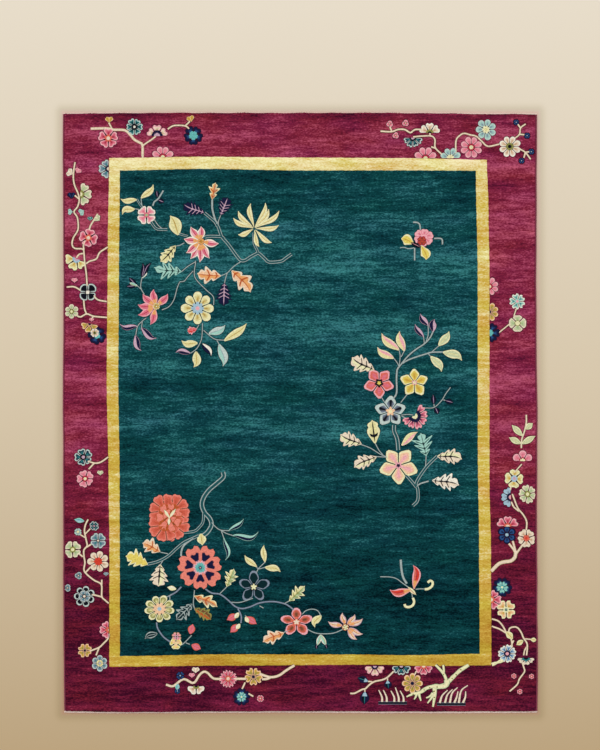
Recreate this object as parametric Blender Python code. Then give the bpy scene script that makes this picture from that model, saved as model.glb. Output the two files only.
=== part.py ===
"""A hand-knotted wool rug in the Chinese deco manner, lying flat on its back.

Three kinds of piece make it up: the knotted pile carpet, the wool overcasting along its two long
sides, and the strip of cotton webbing that shows past the pile at each end. Its frame is +Z up,
X across the rug and Y along it, with the origin on the floor under the middle of the whole.
"""

import bmesh
import bpy
import numpy as np

# Sizes over all, in metres
RUG_WIDTH = 2.41
RUG_LENGTH = 3.05
PILE_HEIGHT = 0.0115
PILE_ROUNDING = 0.0035

# Overcast sides and webbed ends, in metres, and where the cord's round part starts, in degrees
OVERCAST_WIDTH = 0.0085
OVERCAST_HEIGHT = 0.0085
OVERCAST_FOOT = 0.0051
OVERCAST_ARC_START = -32.0
WEB_THICKNESS = 0.0025
WEB_SHOWN_LOW = 0.0080
WEB_SHOWN_HIGH = 0.0042
LEAST_WEB = 0.0022
SEAM_GAP = 0.0003

# Plain border and gold band inside the pile's outline, in metres
BORDER_LEFT = 0.229
BORDER_RIGHT = 0.245
BORDER_LOW = 0.243
BORDER_HIGH = 0.231
BAND_WIDTH = 0.059

# How far each edge stands in from a straight line.
# Columns: share of the way along the edge, inset in millimetres. Sides run from the low end up,
# ends run from the left corner to the right one.
LEFT_INSET = (
    (0.0, 7.0), (0.18, 3.0), (0.38, 2.2), (0.54, 0.5), (0.69, 4.2), (0.81, 2.5), (0.93, 0.0), (1.0, 0.8),
)
RIGHT_INSET = (
    (0.0, 2.0), (0.09, 0.0), (0.19, 3.0), (0.34, 5.0), (0.49, 2.0), (0.60, 6.5), (0.69, 8.2), (0.93, 6.0),
    (1.0, 4.0),
)
LOW_INSET = ((0.0, 6.0), (0.08, 2.0), (0.14, 0.0), (0.33, 4.0), (0.52, 5.5), (0.71, 3.5), (1.0, 5.0))
HIGH_INSET = (
    (0.0, 5.0), (0.10, 3.0), (0.18, 0.8), (0.50, 1.0), (0.67, 0.0), (0.78, 3.0), (0.90, 7.0), (1.0, 8.0),
)
LOW_WEB_INSET = ((0.0, 2.5), (0.12, 0.0), (0.30, 2.0), (0.47, 3.4), (0.66, 1.0), (0.85, 0.6), (1.0, 3.0))
HIGH_WEB_INSET = ((0.0, 3.0), (0.15, 1.2), (0.36, 0.0), (0.55, 1.4), (0.74, 0.6), (0.90, 4.0), (1.0, 5.5))

# Small ripple of a hand-beaten edge
RIPPLE_SIZE = 0.0005
RIPPLES = ((7.0, 0.6), (11.0, 2.1))

# Cells of the meshes
CELLS_BORDER = 3
CELLS_ACROSS = 20
CELLS_ALONG = 26
ROUNDING_STEPS = 3
OVERCAST_ARC_POINTS = 9

# Wool and cotton: sRGB colour, roughness
TEAL_WOOL = ("#12484B", 0.85)
GOLD_WOOL = ("#DDBB4A", 0.80)
WINE_WOOL = ("#741F43", 0.85)
OVERCAST_WOOL = ("#4E1230", 0.90)
COTTON = ("#E9DCC6", 0.95)


def linear(hex_colour):
    """The linear RGBA of an sRGB hex colour."""
    parts = np.array([int(hex_colour[i : i + 2], 16) for i in (1, 3, 5)]) / 255.0
    low = parts / 12.92
    high = ((parts + 0.055) / 1.055) ** 2.4
    return (*np.where(parts <= 0.04045, low, high).tolist(), 1.0)


def material(name, finish):
    """A plain dyed yarn."""
    colour, roughness = finish
    made = bpy.data.materials.new(name)
    made.use_nodes = True
    shader = made.node_tree.nodes["Principled BSDF"]
    shader.inputs["Base Color"].default_value = linear(colour)
    shader.inputs["Roughness"].default_value = roughness
    shader.inputs["Metallic"].default_value = 0.0
    made.diffuse_color = linear(colour)
    return made


def inset(table, share):
    """Insets in metres at the shares of an edge: eased from row to row of the table, with a small ripple."""
    shares, values = np.array(table).T
    row = np.clip(np.searchsorted(shares, share, side="right") - 1, 0, len(shares) - 2)
    t = (share - shares[row]) / (shares[row + 1] - shares[row])
    eased = t * t * (3 - 2 * t)
    smooth = (values[row] + (values[row + 1] - values[row]) * eased) / 1000
    ripple = sum(np.sin(turns * 2 * np.pi * share + phase) for turns, phase in RIPPLES)
    return np.maximum(smooth + RIPPLE_SIZE * ripple, 0.0)


def left_side(along):
    """X of the rug's left edge, outside its overcasting."""
    return -RUG_WIDTH / 2 + inset(LEFT_INSET, along)


def right_side(along):
    """X of the rug's right edge, outside its overcasting."""
    return RUG_WIDTH / 2 - inset(RIGHT_INSET, along)


def low_end(across):
    """Y of the pile's low edge, where its webbing starts to show."""
    return -RUG_LENGTH / 2 + WEB_SHOWN_LOW + inset(LOW_INSET, across)


def high_end(across):
    """Y of the pile's high edge."""
    return RUG_LENGTH / 2 - WEB_SHOWN_HIGH - inset(HIGH_INSET, across)


def shares(first_border, last_border, span, middle_cells):
    """Shares of a span with a line on each edge of the gold band, and even cells between those lines."""
    first, last = first_border + BAND_WIDTH, span - last_border - BAND_WIDTH
    lines = [0.0, first_border, first, last, span - last_border, span]
    cells = [CELLS_BORDER, 1, middle_cells, 1, CELLS_BORDER]
    runs = [np.linspace(a, b, n, endpoint=False) for a, b, n in zip(lines, lines[1:], cells)]
    return np.append(np.concatenate(runs), span) / span


ACROSS = shares(BORDER_LEFT, BORDER_RIGHT, RUG_WIDTH, CELLS_ACROSS)
ALONG = shares(BORDER_LOW, BORDER_HIGH, RUG_LENGTH, CELLS_ALONG)


def pile_place(s, t):
    """X and Y of the pile at the shares s across and t along: straight between its four uneven edges."""
    left = left_side(t) + OVERCAST_WIDTH + SEAM_GAP
    right = right_side(t) - OVERCAST_WIDTH - SEAM_GAP
    return left + (right - left) * s, low_end(s) + (high_end(s) - low_end(s)) * t


def object_of(name, mesh, materials):
    """A mesh as a named object with its materials, in the scene."""
    for made in materials:
        mesh.materials.append(made)
    made = bpy.data.objects.new(name, mesh)
    bpy.context.scene.collection.objects.link(made)
    return made


def pile_carpet():
    """The knotted carpet: a grid drawn to the rug's uneven outline and raised to its thickness, its pile
    rounded over along the rim."""
    x, y = pile_place(*np.meshgrid(ACROSS, ALONG))
    rows, columns = x.shape
    points = np.stack([x, y, np.zeros_like(x)], axis=-1).reshape(-1, 3)
    corner = (np.arange(rows - 1)[:, None] * columns + np.arange(columns - 1)).reshape(-1)
    cells = np.stack([corner, corner + 1, corner + columns + 1, corner + columns], axis=1)

    mesh = bpy.data.meshes.new("pile_carpet")
    mesh.from_pydata(points.tolist(), [], cells.tolist())
    body = bmesh.new()
    body.from_mesh(mesh)
    bmesh.ops.reverse_faces(body, faces=body.faces[:])
    raised = bmesh.ops.extrude_face_region(body, geom=body.faces[:], use_keep_orig=True)["geom"]
    top = [part for part in raised if isinstance(part, bmesh.types.BMVert)]
    bmesh.ops.translate(body, verts=top, vec=(0.0, 0.0, PILE_HEIGHT))
    bmesh.ops.recalc_face_normals(body, faces=body.faces[:])
    body.normal_update()
    rim = [
        edge
        for edge in body.edges
        if min(v.co.z for v in edge.verts) > PILE_HEIGHT / 2
        and min(face.normal.z for face in edge.link_faces) < 0.5
    ]
    bmesh.ops.bevel(
        body, geom=rim, offset=PILE_ROUNDING, segments=ROUNDING_STEPS, profile=0.5, affect="EDGES"
    )
    paint_zones(body)
    body.to_mesh(mesh)
    body.free()
    yarns = [material("wine_wool_pile", WINE_WOOL), material("gold_wool_pile", GOLD_WOOL)]
    return object_of("pile_carpet", mesh, yarns + [material("teal_wool_pile", TEAL_WOOL)])


def paint_zones(body):
    """Gives each face of the carpet the yarn of the border, the band or the field that it lies in."""
    for face in body.faces:
        x, y, _ = face.calc_center_median()
        depth = min(
            x + RUG_WIDTH / 2 - BORDER_LEFT,
            RUG_WIDTH / 2 - BORDER_RIGHT - x,
            y + RUG_LENGTH / 2 - BORDER_LOW,
            RUG_LENGTH / 2 - BORDER_HIGH - y,
        )
        face.material_index = 0 if depth < 0 else 1 if depth < BAND_WIDTH else 2


def bar(name, rings, made):
    """A closed bar through rings of points, one ring for each station along it."""
    count, size = rings.shape[:2]
    ring = np.arange(size)
    start = (np.arange(count - 1) * size)[:, None]
    turned = (ring + 1) % size
    sides = np.stack([start + ring, start + turned, start + size + turned, start + size + ring], axis=-1)
    faces = sides.reshape(-1, 4).tolist() + [ring[::-1].tolist(), (ring + (count - 1) * size).tolist()]
    mesh = bpy.data.meshes.new(name)
    mesh.from_pydata(rings.reshape(-1, 3).tolist(), [], faces)
    body = bmesh.new()
    body.from_mesh(mesh)
    bmesh.ops.recalc_face_normals(body, faces=body.faces[:])
    body.to_mesh(mesh)
    body.free()
    mesh.shade_smooth()
    mesh.set_sharp_from_angle(angle=np.radians(50))
    return object_of(name, mesh, [made])


def side_overcast(name, outward, made):
    """Wool wound round the edge warps: a nearly round cord with a flat foot, along one long side."""
    x, y = pile_place(np.full_like(ALONG, 0.0 if outward < 0 else 1.0), ALONG)
    middle = x + outward * (SEAM_GAP + OVERCAST_WIDTH / 2)
    angle = np.radians(np.linspace(OVERCAST_ARC_START, 180.0 - OVERCAST_ARC_START, OVERCAST_ARC_POINTS))
    arc_x = OVERCAST_WIDTH / 2 * np.cos(angle)
    arc_z = OVERCAST_HEIGHT * (0.5 + 0.5 * np.sin(angle))
    section_x = np.concatenate([[OVERCAST_FOOT / 2], arc_x, [-OVERCAST_FOOT / 2]])
    section_z = np.concatenate([[0.0], arc_z, [0.0]])
    rings = np.stack(np.broadcast_arrays(middle[:, None] + section_x, y[:, None], section_z), axis=-1)
    return bar(name, rings, made)


def end_web(name, outward, table, made):
    """Flat cotton webbing past one end of the pile and of the overcast sides, with a wavering outer edge."""
    x, y = pile_place(ACROSS, np.full_like(ACROSS, 0.0 if outward < 0 else 1.0))
    beyond = OVERCAST_WIDTH + SEAM_GAP
    x = np.concatenate([[x[0] - beyond], x, [x[-1] + beyond]])
    inner = np.concatenate([y[:1], y, y[-1:]]) + outward * SEAM_GAP
    straight = RUG_LENGTH / 2 - inset(table, np.concatenate([[0.0], ACROSS, [1.0]]))
    outer = outward * np.maximum(straight, outward * inner + LEAST_WEB)
    section_y = np.stack([inner, outer, outer, inner], axis=1)
    section_z = np.array([0.0, 0.0, WEB_THICKNESS, WEB_THICKNESS])
    rings = np.stack(np.broadcast_arrays(x[:, None], section_y, section_z), axis=-1)
    return bar(name, rings, made)


def main():
    for old in list(bpy.data.objects):
        bpy.data.objects.remove(old, do_unlink=True)
    wool = material("wine_overcast_wool", OVERCAST_WOOL)
    cotton = material("bleached_cotton_web", COTTON)
    pile_carpet()
    side_overcast("side_overcast_left", -1.0, wool)
    side_overcast("side_overcast_right", 1.0, wool)
    end_web("end_web_low", -1.0, LOW_WEB_INSET, cotton)
    end_web("end_web_high", 1.0, HIGH_WEB_INSET, cotton)


main()
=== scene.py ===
"""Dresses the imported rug: a hand-knotted wool carpet in the Chinese deco manner.

The knotted pile is worked in three dyed zones, a wine border, a gold band and a teal field, with
flower sprays, butterflies and a small tree inlaid in other yarns. Wool overcasting runs down both
sides and cotton webbing shows past both ends. Everything is in metres, +Z up, X across the rug.
"""

from __future__ import annotations

import logging
from collections.abc import Sequence
from dataclasses import dataclass, field
from enum import Enum

import bmesh
import bpy
import numpy as np
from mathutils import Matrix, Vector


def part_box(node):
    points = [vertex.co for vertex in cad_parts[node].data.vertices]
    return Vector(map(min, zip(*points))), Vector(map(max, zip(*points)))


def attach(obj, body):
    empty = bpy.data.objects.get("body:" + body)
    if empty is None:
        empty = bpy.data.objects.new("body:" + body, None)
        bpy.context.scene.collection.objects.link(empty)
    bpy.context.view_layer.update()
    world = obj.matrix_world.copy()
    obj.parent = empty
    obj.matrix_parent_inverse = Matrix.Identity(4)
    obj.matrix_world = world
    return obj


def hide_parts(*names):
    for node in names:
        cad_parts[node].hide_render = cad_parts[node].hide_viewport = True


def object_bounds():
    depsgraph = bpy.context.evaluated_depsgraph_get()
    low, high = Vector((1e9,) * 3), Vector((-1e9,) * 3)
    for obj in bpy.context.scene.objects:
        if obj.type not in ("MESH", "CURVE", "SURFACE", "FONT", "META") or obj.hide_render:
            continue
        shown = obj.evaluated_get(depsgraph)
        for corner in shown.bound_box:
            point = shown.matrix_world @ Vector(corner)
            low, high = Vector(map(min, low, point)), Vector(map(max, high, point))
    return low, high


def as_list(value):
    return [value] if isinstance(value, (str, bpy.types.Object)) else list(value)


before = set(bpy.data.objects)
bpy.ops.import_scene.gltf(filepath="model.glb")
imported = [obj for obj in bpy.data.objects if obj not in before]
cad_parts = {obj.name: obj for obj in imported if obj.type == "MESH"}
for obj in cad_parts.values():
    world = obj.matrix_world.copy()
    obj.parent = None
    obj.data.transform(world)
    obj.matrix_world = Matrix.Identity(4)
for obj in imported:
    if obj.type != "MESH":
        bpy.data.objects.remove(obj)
PACKED_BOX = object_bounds()

LOG = logging.getLogger("rug")
BODY = "root"
PILE_SLOT = "wool_pile"
OVERCAST_SLOT = "wool_overcast"
WEB_SLOT = "cotton_web"
MILLIMETRE = 0.001
# How far from a station, in metres, a CAD point still counts as on it
STATION_SLACK = 0.0002
# How wide the hole in a capped tube's end stays, as a share of the end
END_HOLE = 0.02
# Rounds in which a grid's lines settle on wavering edges
SETTLING_ROUNDS = 4

Array = np.ndarray
Socket = bpy.types.NodeSocket
Node = bpy.types.Node
Tree = bpy.types.NodeTree
Table = tuple[tuple[float, float], ...]
Spot = tuple[float, float]


class Cartoon:
    """The weaver's cartoon: squared paper whose squares are counted across from the left and down.

    A square is as wide as a pixel of the photograph, and SQUARE is its real size on the rug.
    """

    SQUARE = 2.41 / 475.0
    MIDDLE_ACROSS = 300.3
    MIDDLE_DOWN = 412.8
    SHEET_ACROSS = 600.0
    SHEET_DOWN = 750.0

    @classmethod
    def x(cls, across: Array | float) -> Array | float:
        """Metres across the rug of a place on the cartoon."""
        return (across - cls.MIDDLE_ACROSS) * cls.SQUARE

    @classmethod
    def y(cls, down: Array | float) -> Array | float:
        """Metres along the rug of a place on the cartoon."""
        return (cls.MIDDLE_DOWN - down) * cls.SQUARE


def linear(colour: str) -> Array:
    """The linear RGB of an sRGB hex colour.

    Args:
        colour: the colour as #RRGGBB.
    Returns:
        Three numbers from 0 to 1.
    """
    parts = np.array([int(colour[i : i + 2], 16) for i in (1, 3, 5)]) / 255.0
    return np.where(parts <= 0.04045, parts / 12.92, ((parts + 0.055) / 1.055) ** 2.4)


def rgba(colour: str) -> tuple[float, float, float, float]:
    """A hex colour as a shader socket takes it."""
    red, green, blue = linear(colour).tolist()
    return (red, green, blue, 1.0)


def add_node(
    tree: Tree,
    kind: str,
    settings: dict | None = None,
    inputs: dict | None = None,
    stops: Sequence[tuple[float, tuple]] = (),
) -> Node:
    """Adds a node with its settings and links.

    Args:
        tree: the material's node tree.
        kind: the node's type, without its ShaderNode prefix.
        settings: the node's own settings by name.
        inputs: for each input, by name or number, a value, an output, or a node whose first output it takes.
        stops: the places and colours of a colour ramp.
    Returns:
        The new node.
    """
    made = tree.nodes.new(f"ShaderNode{kind}")
    for key, value in (settings or {}).items():
        setattr(made, key, value)
    for key, value in (inputs or {}).items():
        if isinstance(value, Node):
            tree.links.new(value.outputs[0], made.inputs[key])
        elif isinstance(value, Socket):
            tree.links.new(value, made.inputs[key])
        else:
            made.inputs[key].default_value = value
    for index, (where, colour) in enumerate(stops):
        elements = made.color_ramp.elements
        stop = elements[index] if index < 2 else elements.new(where)
        stop.position = where
        stop.color = colour
    return made


def eased(table: Table, at: Array) -> Array:
    """Values read from a table of places and values, eased from row to row as t * t * (3 - 2 * t).

    Args:
        table: rows of a place and a value, in rising order of place.
        at: the places to read.
    Returns:
        The value at each place, held level past both ends.
    """
    places, values = np.array(table).T
    at = np.clip(at, places[0], places[-1])
    row = np.clip(np.searchsorted(places, at, side="right") - 1, 0, len(places) - 2)
    share = (at - places[row]) / (places[row + 1] - places[row])
    return values[row] + (values[row + 1] - values[row]) * share * share * (3.0 - 2.0 * share)


def grid_quads(rows: int, columns: int, wrap: bool = False) -> Array:
    """The corners of a grid's cells, turned so that a grid laid out in X and Y faces up.

    Args:
        rows: how many lines of points the grid has.
        columns: how many points a line has.
        wrap: whether the last column joins the first.
    Returns:
        Four corner numbers for each cell.
    """
    column = np.arange(columns if wrap else columns - 1)
    after = (column + 1) % columns
    start = np.arange(rows - 1)[:, None] * columns
    corners = [start + column, start + after, start + columns + after, start + columns + column]
    return np.stack(corners, axis=-1).reshape(-1, 4)


def mesh_object(name: str, points: Array, quads: Array, yarn: Array | None = None) -> bpy.types.Object:
    """Makes a smooth-shaded mesh object from whole arrays and links it to the scene.

    Args:
        name: the object's name.
        points: X, Y and Z of each point, in metres.
        quads: four corner numbers for each face.
        yarn: linear RGB of each point's yarn, kept as the attribute "yarn".
    Returns:
        The object, at the origin.
    """
    used, quads = np.unique(quads, return_inverse=True)
    quads = quads.reshape(-1, 4)
    mesh = bpy.data.meshes.new(name)
    mesh.vertices.add(len(used))
    mesh.vertices.foreach_set("co", points.reshape(-1, 3)[used].astype(np.float32).ravel())
    mesh.loops.add(quads.size)
    mesh.loops.foreach_set("vertex_index", quads.ravel().astype(np.int32))
    mesh.polygons.add(len(quads))
    mesh.polygons.foreach_set("loop_start", np.arange(0, quads.size, 4, dtype=np.int32))
    if yarn is not None:
        colours = np.ones((len(used), 4), dtype=np.float32)
        colours[:, :3] = yarn.reshape(-1, 3)[used]
        made = mesh.attributes.new("yarn", "FLOAT_COLOR", "POINT")
        made.data.foreach_set("color", colours.ravel())
    mesh.update(calc_edges=True)
    mesh.shade_smooth()
    made_object = bpy.data.objects.new(name, mesh)
    bpy.context.scene.collection.objects.link(made_object)
    return made_object


def points_of(node: bpy.types.Object) -> Array:
    """X, Y and Z of the points of a CAD node, a row for each."""
    points = np.empty(len(node.data.vertices) * 3)
    node.data.vertices.foreach_get("co", points)
    return points.reshape(-1, 3)


def stations_of(node: str, axis: int) -> tuple[Array, list[Array]]:
    """The places along a CAD strip where it has points, and the points at each.

    Args:
        node: the strip's node.
        axis: the axis that it runs along, 0 for X and 1 for Y.
    Returns:
        The places, and the other coordinate in plan of the points at each.
    """
    points = np.unique(points_of(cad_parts[node]).round(5), axis=0)
    places = np.unique(points[:, axis].round(4))
    return places, [points[np.abs(points[:, axis] - place) < STATION_SLACK, 1 - axis] for place in places]


def capped(rings: Array) -> Array:
    """A tube's rings with a nearly closed one before the first and after the last."""
    ends = rings[[0, -1]].mean(axis=1, keepdims=True)
    start, stop = (np.broadcast_to(end, (1, *rings.shape[1:])) for end in ends)
    first, last = start + (rings[:1] - start) * END_HOLE, stop + (rings[-1:] - stop) * END_HOLE
    return np.concatenate([first, rings, last])


def finish_piece(
    piece: bpy.types.Object, slot: str, materials: Sequence[bpy.types.Material], *nodes: str
) -> None:
    """Dresses a piece, hangs it on the body and hides the CAD nodes that it stands for.

    Args:
        piece: the piece.
        slot: a material slot's name; not used.
        materials: its materials, in the order of its faces' material numbers.
        nodes: the CAD nodes that it stands for.
    """
    for material in materials:
        piece.data.materials.append(material)
    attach(piece, BODY)
    if nodes:
        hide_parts(*nodes)
    LOG.info("%s: %d faces", piece.name, len(piece.data.polygons))


def streaks(tree: Tree, place: Socket, size_mm: Spot, seed: float, detail: float = 3.0) -> Node:
    """Noise drawn out across the rug, as rows of knots tied from one hank of yarn are.

    Args:
        tree: the material's node tree.
        place: Object coordinates.
        size_mm: the usual length and height of a streak.
        seed: another number gives other streaks.
        detail: how many finer octaves lie on the streaks.
    Returns:
        A node whose value lies about 0.5.
    """
    scale = (1.0 / (size_mm[0] * MILLIMETRE), 1.0 / (size_mm[1] * MILLIMETRE), 1.0)
    shift = (seed, 1.7 * seed, seed)
    mapped = add_node(tree, "Mapping", inputs={"Vector": place, "Scale": scale, "Location": shift})
    settings = {"Vector": mapped, "Scale": 1.0, "Detail": detail, "Roughness": 0.6}
    return add_node(tree, "TexNoise", inputs=settings)


def mottled(tree: Tree, place: Socket, base: Node | Socket, layers: Sequence[tuple]) -> Node:
    """A value with layers of streaks laid over it.

    Args:
        tree: the material's node tree.
        place: Object coordinates.
        base: the value to start from.
        layers: rows of a streak's length and height in millimetres, and its weight.
    Returns:
        A node with base plus weight * (streaks - 0.5) for each layer, kept from 0 to 1.
    """
    value = base
    for number, (long_mm, high_mm, weight) in enumerate(layers):
        noise = streaks(tree, place, (long_mm, high_mm), 11.0 + 7.0 * number)
        span = {"Value": noise, "To Min": -0.5 * weight, "To Max": 0.5 * weight}
        layer = add_node(tree, "MapRange", {"clamp": False}, span)
        value = add_node(tree, "Math", {"operation": "ADD"}, {0: value, 1: layer})
    return add_node(tree, "Clamp", inputs={0: value})


def matt_material(name: str, roughness: float, specular: float) -> tuple[bpy.types.Material, Tree, Node]:
    """Starts a matt material.

    Args:
        name: what it is made of.
        roughness: the shader's roughness, from 0 to 1.
        specular: the shader's specular level, from 0 to 1.
    Returns:
        The material, its node tree and its shader.
    """
    made = bpy.data.materials.new(name)
    made.use_nodes = True
    shader = made.node_tree.nodes["Principled BSDF"]
    shader.inputs["Roughness"].default_value = roughness
    shader.inputs["Specular IOR Level"].default_value = specular
    return made, made.node_tree, shader


def raise_fibres(tree: Tree, shader: Node, height: Node, bump: Spot) -> None:
    """Bumps the surface by a height from 0 to 1. bump is how strongly and how many metres deep."""
    strength, depth = bump
    made = add_node(tree, "Bump", inputs={"Height": height, "Strength": strength, "Distance": depth})
    tree.links.new(made.outputs[0], shader.inputs["Normal"])


@dataclass(frozen=True)
class DyedPile:
    """Hand-knotted wool pile, dyed batch by batch and clipped level: matt, mottled along the knot rows.

    Where a new dye batch begins, the tone shifts along the whole row, which rug makers call abrash. deep,
    middle and light are the yarn's range. lots_and_painted_falloff lists places as squares down the
    cartoon and how light the pile is there, from 0 to 1: the dye batches' tones together with a painted
    falloff of light, darker towards the rug's low end.
    """

    name: str
    deep: str
    middle: str
    light: str
    lots_and_painted_falloff: Table
    contrast: float = 1.0
    hue_spread: float = 0.02

    ROUGHNESS = 0.9
    SPECULAR = 0.02
    SHEEN = 0.04
    # How strongly the knots show, and how deep they are in metres
    BUMP = (0.5, 0.0025)
    # Blotches of a hank, of a stretch of rows, of a few knots and of one: length, height in mm, weight
    LAYERS = ((360.0, 90.0, 1.1), (150.0, 24.0, 1.1), (50.0, 12.0, 0.9), (12.0, 6.0, 1.6))
    # Knots are 2.5 mm apart; clumps of them are drawn 5 mm wide, the least that shows from above
    CLUMP_MM = 5.0
    WAVER = 0.045

    def material(self) -> bpy.types.Material:
        """Builds the pile: the dye batch's tone with its painted falloff of light, streaked and mottled,
        picks a colour of the yarn's range.

        Returns:
            The material.
        """
        made, tree, shader = matt_material(self.name, self.ROUGHNESS, self.SPECULAR)
        place = add_node(tree, "TexCoord").outputs["Object"]
        layers = [(long_mm, high_mm, weight * self.contrast) for long_mm, high_mm, weight in self.LAYERS]
        tone = mottled(tree, place, self._lot_and_painted_falloff(tree, place), layers)
        stops = ((0.0, rgba(self.deep)), (1.0, rgba(self.light)), (0.5, rgba(self.middle)))
        colour = add_node(tree, "ValToRGB", inputs={0: tone}, stops=stops)
        cast = streaks(tree, place, (310.0, 120.0), 71.0)
        turn = {"Value": cast, "To Min": 0.5 - self.hue_spread, "To Max": 0.5 + self.hue_spread}
        hue = add_node(tree, "MapRange", inputs={"From Min": 0.3, "From Max": 0.7, **turn})
        dyed = add_node(tree, "HueSaturation", inputs={"Hue": hue, "Color": colour})
        tree.links.new(dyed.outputs[0], shader.inputs["Base Color"])
        raise_fibres(tree, shader, streaks(tree, place, (self.CLUMP_MM, self.CLUMP_MM), 41.0), self.BUMP)
        shader.inputs["Sheen Weight"].default_value = self.SHEEN
        shader.inputs["Sheen Tint"].default_value = rgba(self.light)
        return made

    def _lot_and_painted_falloff(self, tree: Tree, place: Socket) -> Node:
        """How light the pile is at a place: the table of dye batches and painted falloff of light along the
        rug, wavering across it.
        """
        down = add_node(tree, "SeparateXYZ", inputs={0: place}).outputs[1]
        noise = streaks(tree, place, (520.0, 90.0), 3.0, 1.0)
        waver = add_node(tree, "Math", {"operation": "MULTIPLY"}, {0: noise, 1: self.WAVER * 2.0})
        moved = add_node(tree, "Math", {"operation": "ADD"}, {0: down, 1: waver})
        low = Cartoon.y(self.lots_and_painted_falloff[-1][0])
        high = Cartoon.y(self.lots_and_painted_falloff[0][0])
        span = {"Value": moved, "From Min": low + self.WAVER, "From Max": high + self.WAVER}
        share = add_node(tree, "MapRange", inputs=span)
        # Each row: a place and its lightness, the dye batch's tone with the painted falloff of light
        rows = [
            ((Cartoon.y(at) - low) / (high - low), (light, light, light, 1.0)) for at, light in self.lots_and_painted_falloff
        ]
        rows.insert(1, rows.pop())
        lot_and_painted_falloff = add_node(tree, "ValToRGB", inputs={0: share}, stops=rows)
        lot_and_painted_falloff.color_ramp.interpolation = "EASE"
        return lot_and_painted_falloff


@dataclass(frozen=True)
class InlaidYarn:
    """Hand-knotted wool pile of many yarns: each point's own yarn, mottled by the spinning, matt."""

    name: str = "hand_knotted_motif_wool"

    ROUGHNESS = 0.85
    SPECULAR = 0.1
    BUMP = (0.45, 0.002)
    LAYERS = ((24.0, 9.0, 0.5), (8.0, 6.0, 1.5))
    DEEP = 0.55
    LIGHT = 1.25

    def material(self) -> bpy.types.Material:
        """Builds the wool: the attribute "yarn" made lighter and deeper from knot to knot.

        Returns:
            The material.
        """
        made, tree, shader = matt_material(self.name, self.ROUGHNESS, self.SPECULAR)
        place = add_node(tree, "TexCoord").outputs["Object"]
        yarn = add_node(tree, "Attribute", {"attribute_name": "yarn"}).outputs["Color"]
        half = add_node(tree, "MapRange", inputs={"Value": 0.5})
        tone = mottled(tree, place, half, self.LAYERS)
        gain = add_node(tree, "MapRange", inputs={"Value": tone, "To Min": self.DEEP, "To Max": self.LIGHT})
        mixed = add_node(tree, "VectorMath", {"operation": "SCALE"}, {0: yarn, "Scale": gain})
        tree.links.new(mixed.outputs[0], shader.inputs["Base Color"])
        knots = streaks(tree, place, (DyedPile.CLUMP_MM, DyedPile.CLUMP_MM), 47.0)
        raise_fibres(tree, shader, knots, self.BUMP)
        return made


@dataclass(frozen=True)
class Spun:
    """Plied yarn, wound or woven: two tones of one dye, fuzzed by its loose fibres, quite matt."""

    name: str
    deep: str
    light: str
    ply_mm: float
    roughness: float = 0.92

    SPECULAR = 0.15
    BUMP = (0.4, 0.001)

    def material(self) -> bpy.types.Material:
        """Builds the yarn: fine noise at its ply picks between its two tones and raises its fibres.

        Returns:
            The material.
        """
        made, tree, shader = matt_material(self.name, self.roughness, self.SPECULAR)
        place = add_node(tree, "TexCoord").outputs["Object"]
        fibres = streaks(tree, place, (self.ply_mm, self.ply_mm), 5.0)
        stops = ((0.3, rgba(self.deep)), (0.7, rgba(self.light)))
        colour = add_node(tree, "ValToRGB", inputs={0: fibres}, stops=stops)
        tree.links.new(colour.outputs[0], shader.inputs["Base Color"])
        raise_fibres(tree, shader, fibres, self.BUMP)
        return made


# Each zone's table of lightness mixes its dye batches' tones with a painted falloff of light, darker towards
# the rug's low end
FIELD_WOOL = DyedPile(
    "teal_hand_knotted_wool",
    deep="#00161C",
    middle="#0E4348",
    light="#428A8E",
    lots_and_painted_falloff=(
        (170.0, 0.34), (200.0, 0.43), (235.0, 0.50), (266.0, 0.62), (282.0, 0.52), (308.0, 0.44),
        (330.0, 0.64), (352.0, 0.44), (368.0, 0.54), (386.0, 0.38), (430.0, 0.56), (446.0, 0.42),
        (470.0, 0.48), (508.0, 0.32), (536.0, 0.40), (560.0, 0.31), (596.0, 0.20), (656.0, 0.27),
    ),
    contrast=0.8,
)
BAND_WOOL = DyedPile(
    "gold_hand_knotted_wool",
    deep="#A87A1E",
    middle="#D0B048",
    light="#F8EEB8",
    lots_and_painted_falloff=((156.0, 0.86), (172.0, 0.74), (230.0, 0.58), (420.0, 0.54), (560.0, 0.46), (667.0, 0.30)),
    contrast=0.7,
)
BORDER_WOOL = DyedPile(
    "wine_hand_knotted_wool",
    deep="#3A0920",
    middle="#7E213B",
    light="#C25B76",
    lots_and_painted_falloff=(
        (113.0, 0.22), (122.0, 0.46), (134.0, 0.62), (152.0, 0.50), (166.0, 0.64), (180.0, 0.50),
        (230.0, 0.66), (250.0, 0.44), (266.0, 0.62), (300.0, 0.46), (344.0, 0.56), (362.0, 0.42),
        (380.0, 0.70), (404.0, 0.46), (424.0, 0.64), (446.0, 0.50), (512.0, 0.34), (580.0, 0.22),
        (626.0, 0.12), (690.0, 0.16), (714.0, 0.24),
    ),
    contrast=0.8,
    hue_spread=0.012,
)
OVERCAST_WOOL = Spun("wine_overcast_wool", "#6A2438", "#96485C", ply_mm=3.0)
WEB_COTTON = Spun("bleached_cotton_webbing", "#D2B6A8", "#FBE4D8", ply_mm=2.5, roughness=0.95)
TUFT_WOOL = Spun("wine_rim_tufts", "#4A0D22", "#7C2440", ply_mm=3.0)
BACK_WOOLS = (
    Spun("wine_knotted_back", "#5A1830", "#84304A", ply_mm=3.0),
    Spun("gold_knotted_back", "#B08A34", "#D8BE66", ply_mm=3.0),
    Spun("teal_knotted_back", "#0E3A3E", "#1E5458", ply_mm=3.0),
)


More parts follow.
